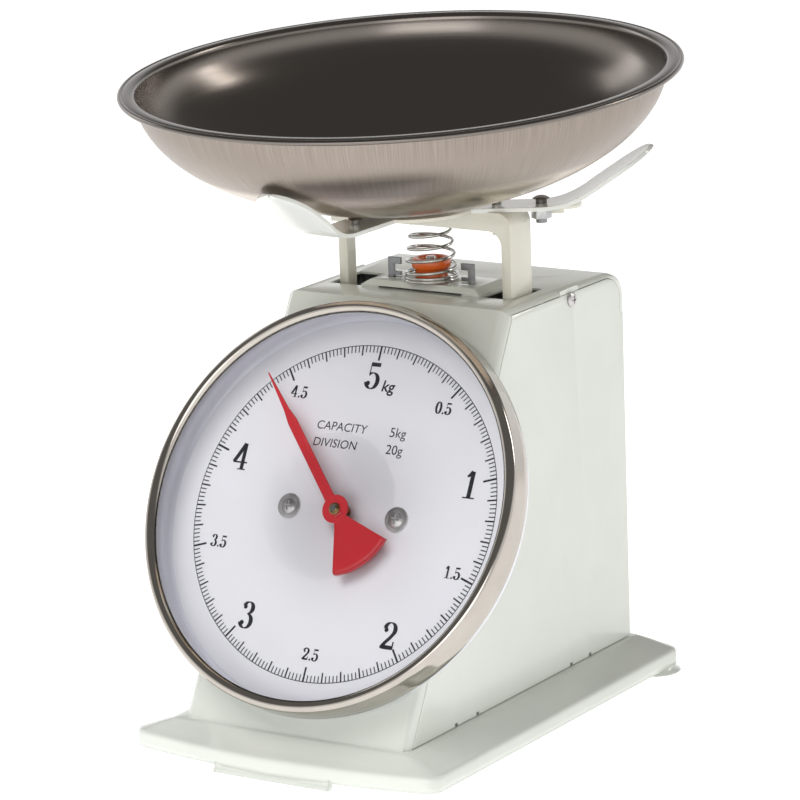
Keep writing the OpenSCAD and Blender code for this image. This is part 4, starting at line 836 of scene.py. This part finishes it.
def spun_steel(name):
    """Spun stainless. Fine lines run round the bowl; on the outside, from a soft edge upward,
    a darker band carries upright scuffs. Its place is a length along the wall, from the UV."""
    steel = bpy.data.materials.new(name)
    steel.use_nodes = True
    tree = steel.node_tree
    new, link = tree.nodes.new, tree.links.new
    shader = tree.nodes["Principled BSDF"]
    shader.inputs["Metallic"].default_value = 1.0
    shader.inputs["Anisotropic"].default_value = 0.35
    lines_uv = new("ShaderNodeUVMap")
    lines_uv.uv_map = "turning"
    stretch = new("ShaderNodeMapping")
    stretch.inputs["Scale"].default_value = (5, 2600, 1)
    lines = new("ShaderNodeTexNoise")
    lines.inputs["Scale"].default_value = 1
    lines.inputs["Detail"].default_value = 3
    link(lines_uv.outputs["UV"], stretch.inputs["Vector"])
    link(stretch.outputs["Vector"], lines.inputs["Vector"])
    upright = new("ShaderNodeMapping")
    upright.inputs["Scale"].default_value = (2400, 40, 1)
    scuffs = new("ShaderNodeTexNoise")
    scuffs.inputs["Scale"].default_value = 1
    scuffs.inputs["Detail"].default_value = 4
    link(lines_uv.outputs["UV"], upright.inputs["Vector"])
    link(upright.outputs["Vector"], scuffs.inputs["Vector"])
    patch_map = new("ShaderNodeMapping")
    patch_map.inputs["Scale"].default_value = (14, 34, 1)
    patch = new("ShaderNodeTexNoise")
    patch.inputs["Scale"].default_value = 1
    patch.inputs["Detail"].default_value = 5
    link(lines_uv.outputs["UV"], patch_map.inputs["Vector"])
    link(patch_map.outputs["Vector"], patch.inputs["Vector"])
    # How far along the outside profile a point is: the inside begins past the rim's length
    along = new("ShaderNodeSeparateXYZ")
    link(lines_uv.outputs["UV"], along.inputs["Vector"])
    jitter = new("ShaderNodeMath")
    jitter.operation = "MULTIPLY_ADD"
    jitter.inputs[1].default_value = 0.006
    link(scuffs.outputs["Fac"], jitter.inputs[0])
    link(along.outputs["Y"], jitter.inputs[2])
    band = new("ShaderNodeValToRGB")
    band.color_ramp.elements.new(0.5)
    band.color_ramp.elements.new(0.5)
    for e, (p, c) in zip(band.color_ramp.elements, ((0.0, 0), (0.47, 0), (0.50, 0.85), (0.7, 1))):
        e.position, e.color = p, (c, c, c, 1)
    reach_map = new("ShaderNodeMapRange")
    reach_map.inputs["From Min"].default_value = 0.0
    reach_map.inputs["From Max"].default_value = 0.218
    link(jitter.outputs["Value"], reach_map.inputs["Value"])
    link(reach_map.outputs["Result"], band.inputs["Fac"])
    outer_only = new("ShaderNodeMath")
    outer_only.operation = "LESS_THAN"
    outer_only.inputs[1].default_value = 0.1445
    link(along.outputs["Y"], outer_only.inputs[0])
    masked = new("ShaderNodeMath")
    masked.operation = "MULTIPLY"
    link(band.outputs["Color"], masked.inputs[0])
    link(outer_only.outputs["Value"], masked.inputs[1])
    base = new("ShaderNodeValToRGB")
    base.color_ramp.elements[0].position = 0.3
    base.color_ramp.elements[1].position = 0.7
    base.color_ramp.elements[0].color = (0.45, 0.375, 0.30, 1)
    base.color_ramp.elements[1].color = (0.585, 0.50, 0.41, 1)
    link(patch.outputs["Fac"], base.inputs["Fac"])
    scuffed = new("ShaderNodeValToRGB")
    scuffed.color_ramp.elements[0].position = 0.30
    scuffed.color_ramp.elements[1].position = 0.75
    scuffed.color_ramp.elements[0].color = (0.24, 0.205, 0.18, 1)
    scuffed.color_ramp.elements[1].color = (0.36, 0.315, 0.275, 1)
    link(scuffs.outputs["Fac"], scuffed.inputs["Fac"])
    mix = new("ShaderNodeMix")
    mix.data_type = "RGBA"
    link(masked.outputs["Value"], mix.inputs["Factor"])
    link(base.outputs["Color"], mix.inputs["A"])
    link(scuffed.outputs["Color"], mix.inputs["B"])
    # The inside takes one flat, much darker colour in place of the outside's: a painted dark reflection,
    # standing for the dark room that the inside faces
    painted_dark_inside = new("ShaderNodeMix")
    painted_dark_inside.data_type = "RGBA"
    link(outer_only.outputs["Value"], painted_dark_inside.inputs["Factor"])
    painted_dark_inside.inputs["A"].default_value = (0.20, 0.178, 0.16, 1)
    link(mix.outputs["Result"], painted_dark_inside.inputs["B"])
    link(painted_dark_inside.outputs["Result"], shader.inputs["Base Color"])
    gloss = new("ShaderNodeMapRange")
    gloss.inputs["To Min"].default_value = 0.16
    gloss.inputs["To Max"].default_value = 0.30
    link(lines.outputs["Fac"], gloss.inputs["Value"])
    rougher = new("ShaderNodeMath")
    rougher.operation = "MULTIPLY_ADD"
    rougher.inputs[1].default_value = 0.13
    link(masked.outputs["Value"], rougher.inputs[0])
    link(gloss.outputs["Result"], rougher.inputs[2])
    link(rougher.outputs["Value"], shader.inputs["Roughness"])
    bump = new("ShaderNodeBump")
    bump.inputs["Strength"].default_value = 0.12
    bump.inputs["Distance"].default_value = 0.0001
    link(lines.outputs["Fac"], bump.inputs["Height"])
    link(bump.outputs["Normal"], shader.inputs["Normal"])
    return steel


wear(bowl, spun_steel("bowl_finish"))
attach(bowl, "bowl")
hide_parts("bowl")

# ---------------------------------------------------------------------------------------------
# Studio: a plain pale floor that meets a pale surround, large soft lights above and beside.
# ---------------------------------------------------------------------------------------------

floor_mesh = bpy.data.meshes.new("studio_floor")
floor_mesh.from_pydata([(-6, -6, 0), (6, -6, 0), (6, 6, 0), (-6, 6, 0)], [], [(0, 1, 2, 3)])
floor = bpy.data.objects.new("studio_floor", floor_mesh)
bpy.context.scene.collection.objects.link(floor)
floor_paint = bpy.data.materials.new("studio_floor_finish")
floor_paint.use_nodes = True
floor_shader = floor_paint.node_tree.nodes["Principled BSDF"]
floor_shader.inputs["Base Color"].default_value = (0.9, 0.9, 0.9, 1)
floor_shader.inputs["Roughness"].default_value = 0.8
floor_shader.inputs["Emission Color"].default_value = (1, 1, 1, 1)
floor_shader.inputs["Emission Strength"].default_value = 0.72
wear(floor, floor_paint)

# The surround is white up to a little above eye level and dark overhead, with a soft step
surround = bpy.data.worlds.new("studio_surround")
bpy.context.scene.world = surround
surround.use_nodes = True
sky = surround.node_tree
sky_place = sky.nodes.new("ShaderNodeTexCoord")
sky_split = sky.nodes.new("ShaderNodeSeparateXYZ")
sky_ramp = sky.nodes.new("ShaderNodeValToRGB")
sky_ramp.color_ramp.elements[0].position = 0.22
sky_ramp.color_ramp.elements[0].color = (1, 1, 1, 1)
sky_ramp.color_ramp.elements[1].position = 0.42
sky_ramp.color_ramp.elements[1].color = (0.17, 0.165, 0.16, 1)
sky.links.new(sky_place.outputs["Generated"], sky_split.inputs["Vector"])
sky.links.new(sky_split.outputs["Z"], sky_ramp.inputs["Fac"])
sky.links.new(sky_ramp.outputs["Color"], sky.nodes["Background"].inputs["Color"])
sky.nodes["Background"].inputs["Strength"].default_value = 1.0


def softbox(name, where, towards, size, power, colour=(1, 1, 1)):
    """A square soft light at a place, facing a point."""
    lamp = bpy.data.lights.new(name, "AREA")
    lamp.shape = "RECTANGLE"
    lamp.size, lamp.size_y = size
    lamp.energy = power
    lamp.color = colour
    holder = bpy.data.objects.new(name, lamp)
    back = np.array(where, float) - np.array(towards, float)
    back /= np.linalg.norm(back)
    right = np.cross([0, 0, 1.0], back)
    right /= np.linalg.norm(right)
    up = np.cross(back, right)
    turn = Matrix(np.column_stack([right, up, back]).tolist()).to_4x4()
    turn.translation = where
    holder.matrix_world = turn
    bpy.context.scene.collection.objects.link(holder)
    return holder


softbox("front_light", (0.55, -1.9, 0.55), (0, 0, 0.15), (1.5, 0.6), 5.5)
softbox("right_light", (1.35, 1.15, 1.15), (0, 0, 0.2), (0.35, 0.9), 6, (1, 0.97, 0.93))
softbox("left_light", (-1.7, 0.3, 0.9), (0, 0, 0.2), (0.5, 0.8), 2)
fill = softbox("high_fill", (-0.35, -1.1, 1.7), (0, 0, 0.15), (1.6, 1.2), 22)
fill.visible_glossy = False

# ---------------------------------------------------------------------------------------------
# Camera: a long lens, a little above the dial's height and to its right.
# ---------------------------------------------------------------------------------------------

camera_data = bpy.data.cameras.new("camera")
camera_data.lens = 198.1
camera_data.sensor_width = 36
camera_data.clip_end = 50
camera = bpy.data.objects.new("camera", camera_data)
azimuth, height, tilt = math.radians(32.74), math.radians(13.55), math.radians(-2.02)
back = np.array([math.sin(azimuth) * math.cos(height), -math.cos(azimuth) * math.cos(height),
                 math.sin(height)])
level = np.array([math.cos(azimuth), math.sin(azimuth), 0])
upward = np.cross(back, level)
right = level * math.cos(tilt) + upward * math.sin(tilt)
up = -level * math.sin(tilt) + upward * math.cos(tilt)
aim = level * 0.0517 + np.array([0, face_foot_y, tray_flat_z + 0.1481])
seat = Matrix(np.column_stack([right, up, back]).tolist()).to_4x4()
seat.translation = (aim + back * 1.8814).tolist()
camera.matrix_world = seat
bpy.context.scene.collection.objects.link(camera)
bpy.context.scene.camera = camera
bpy.context.scene.view_settings.view_transform = "Standard"
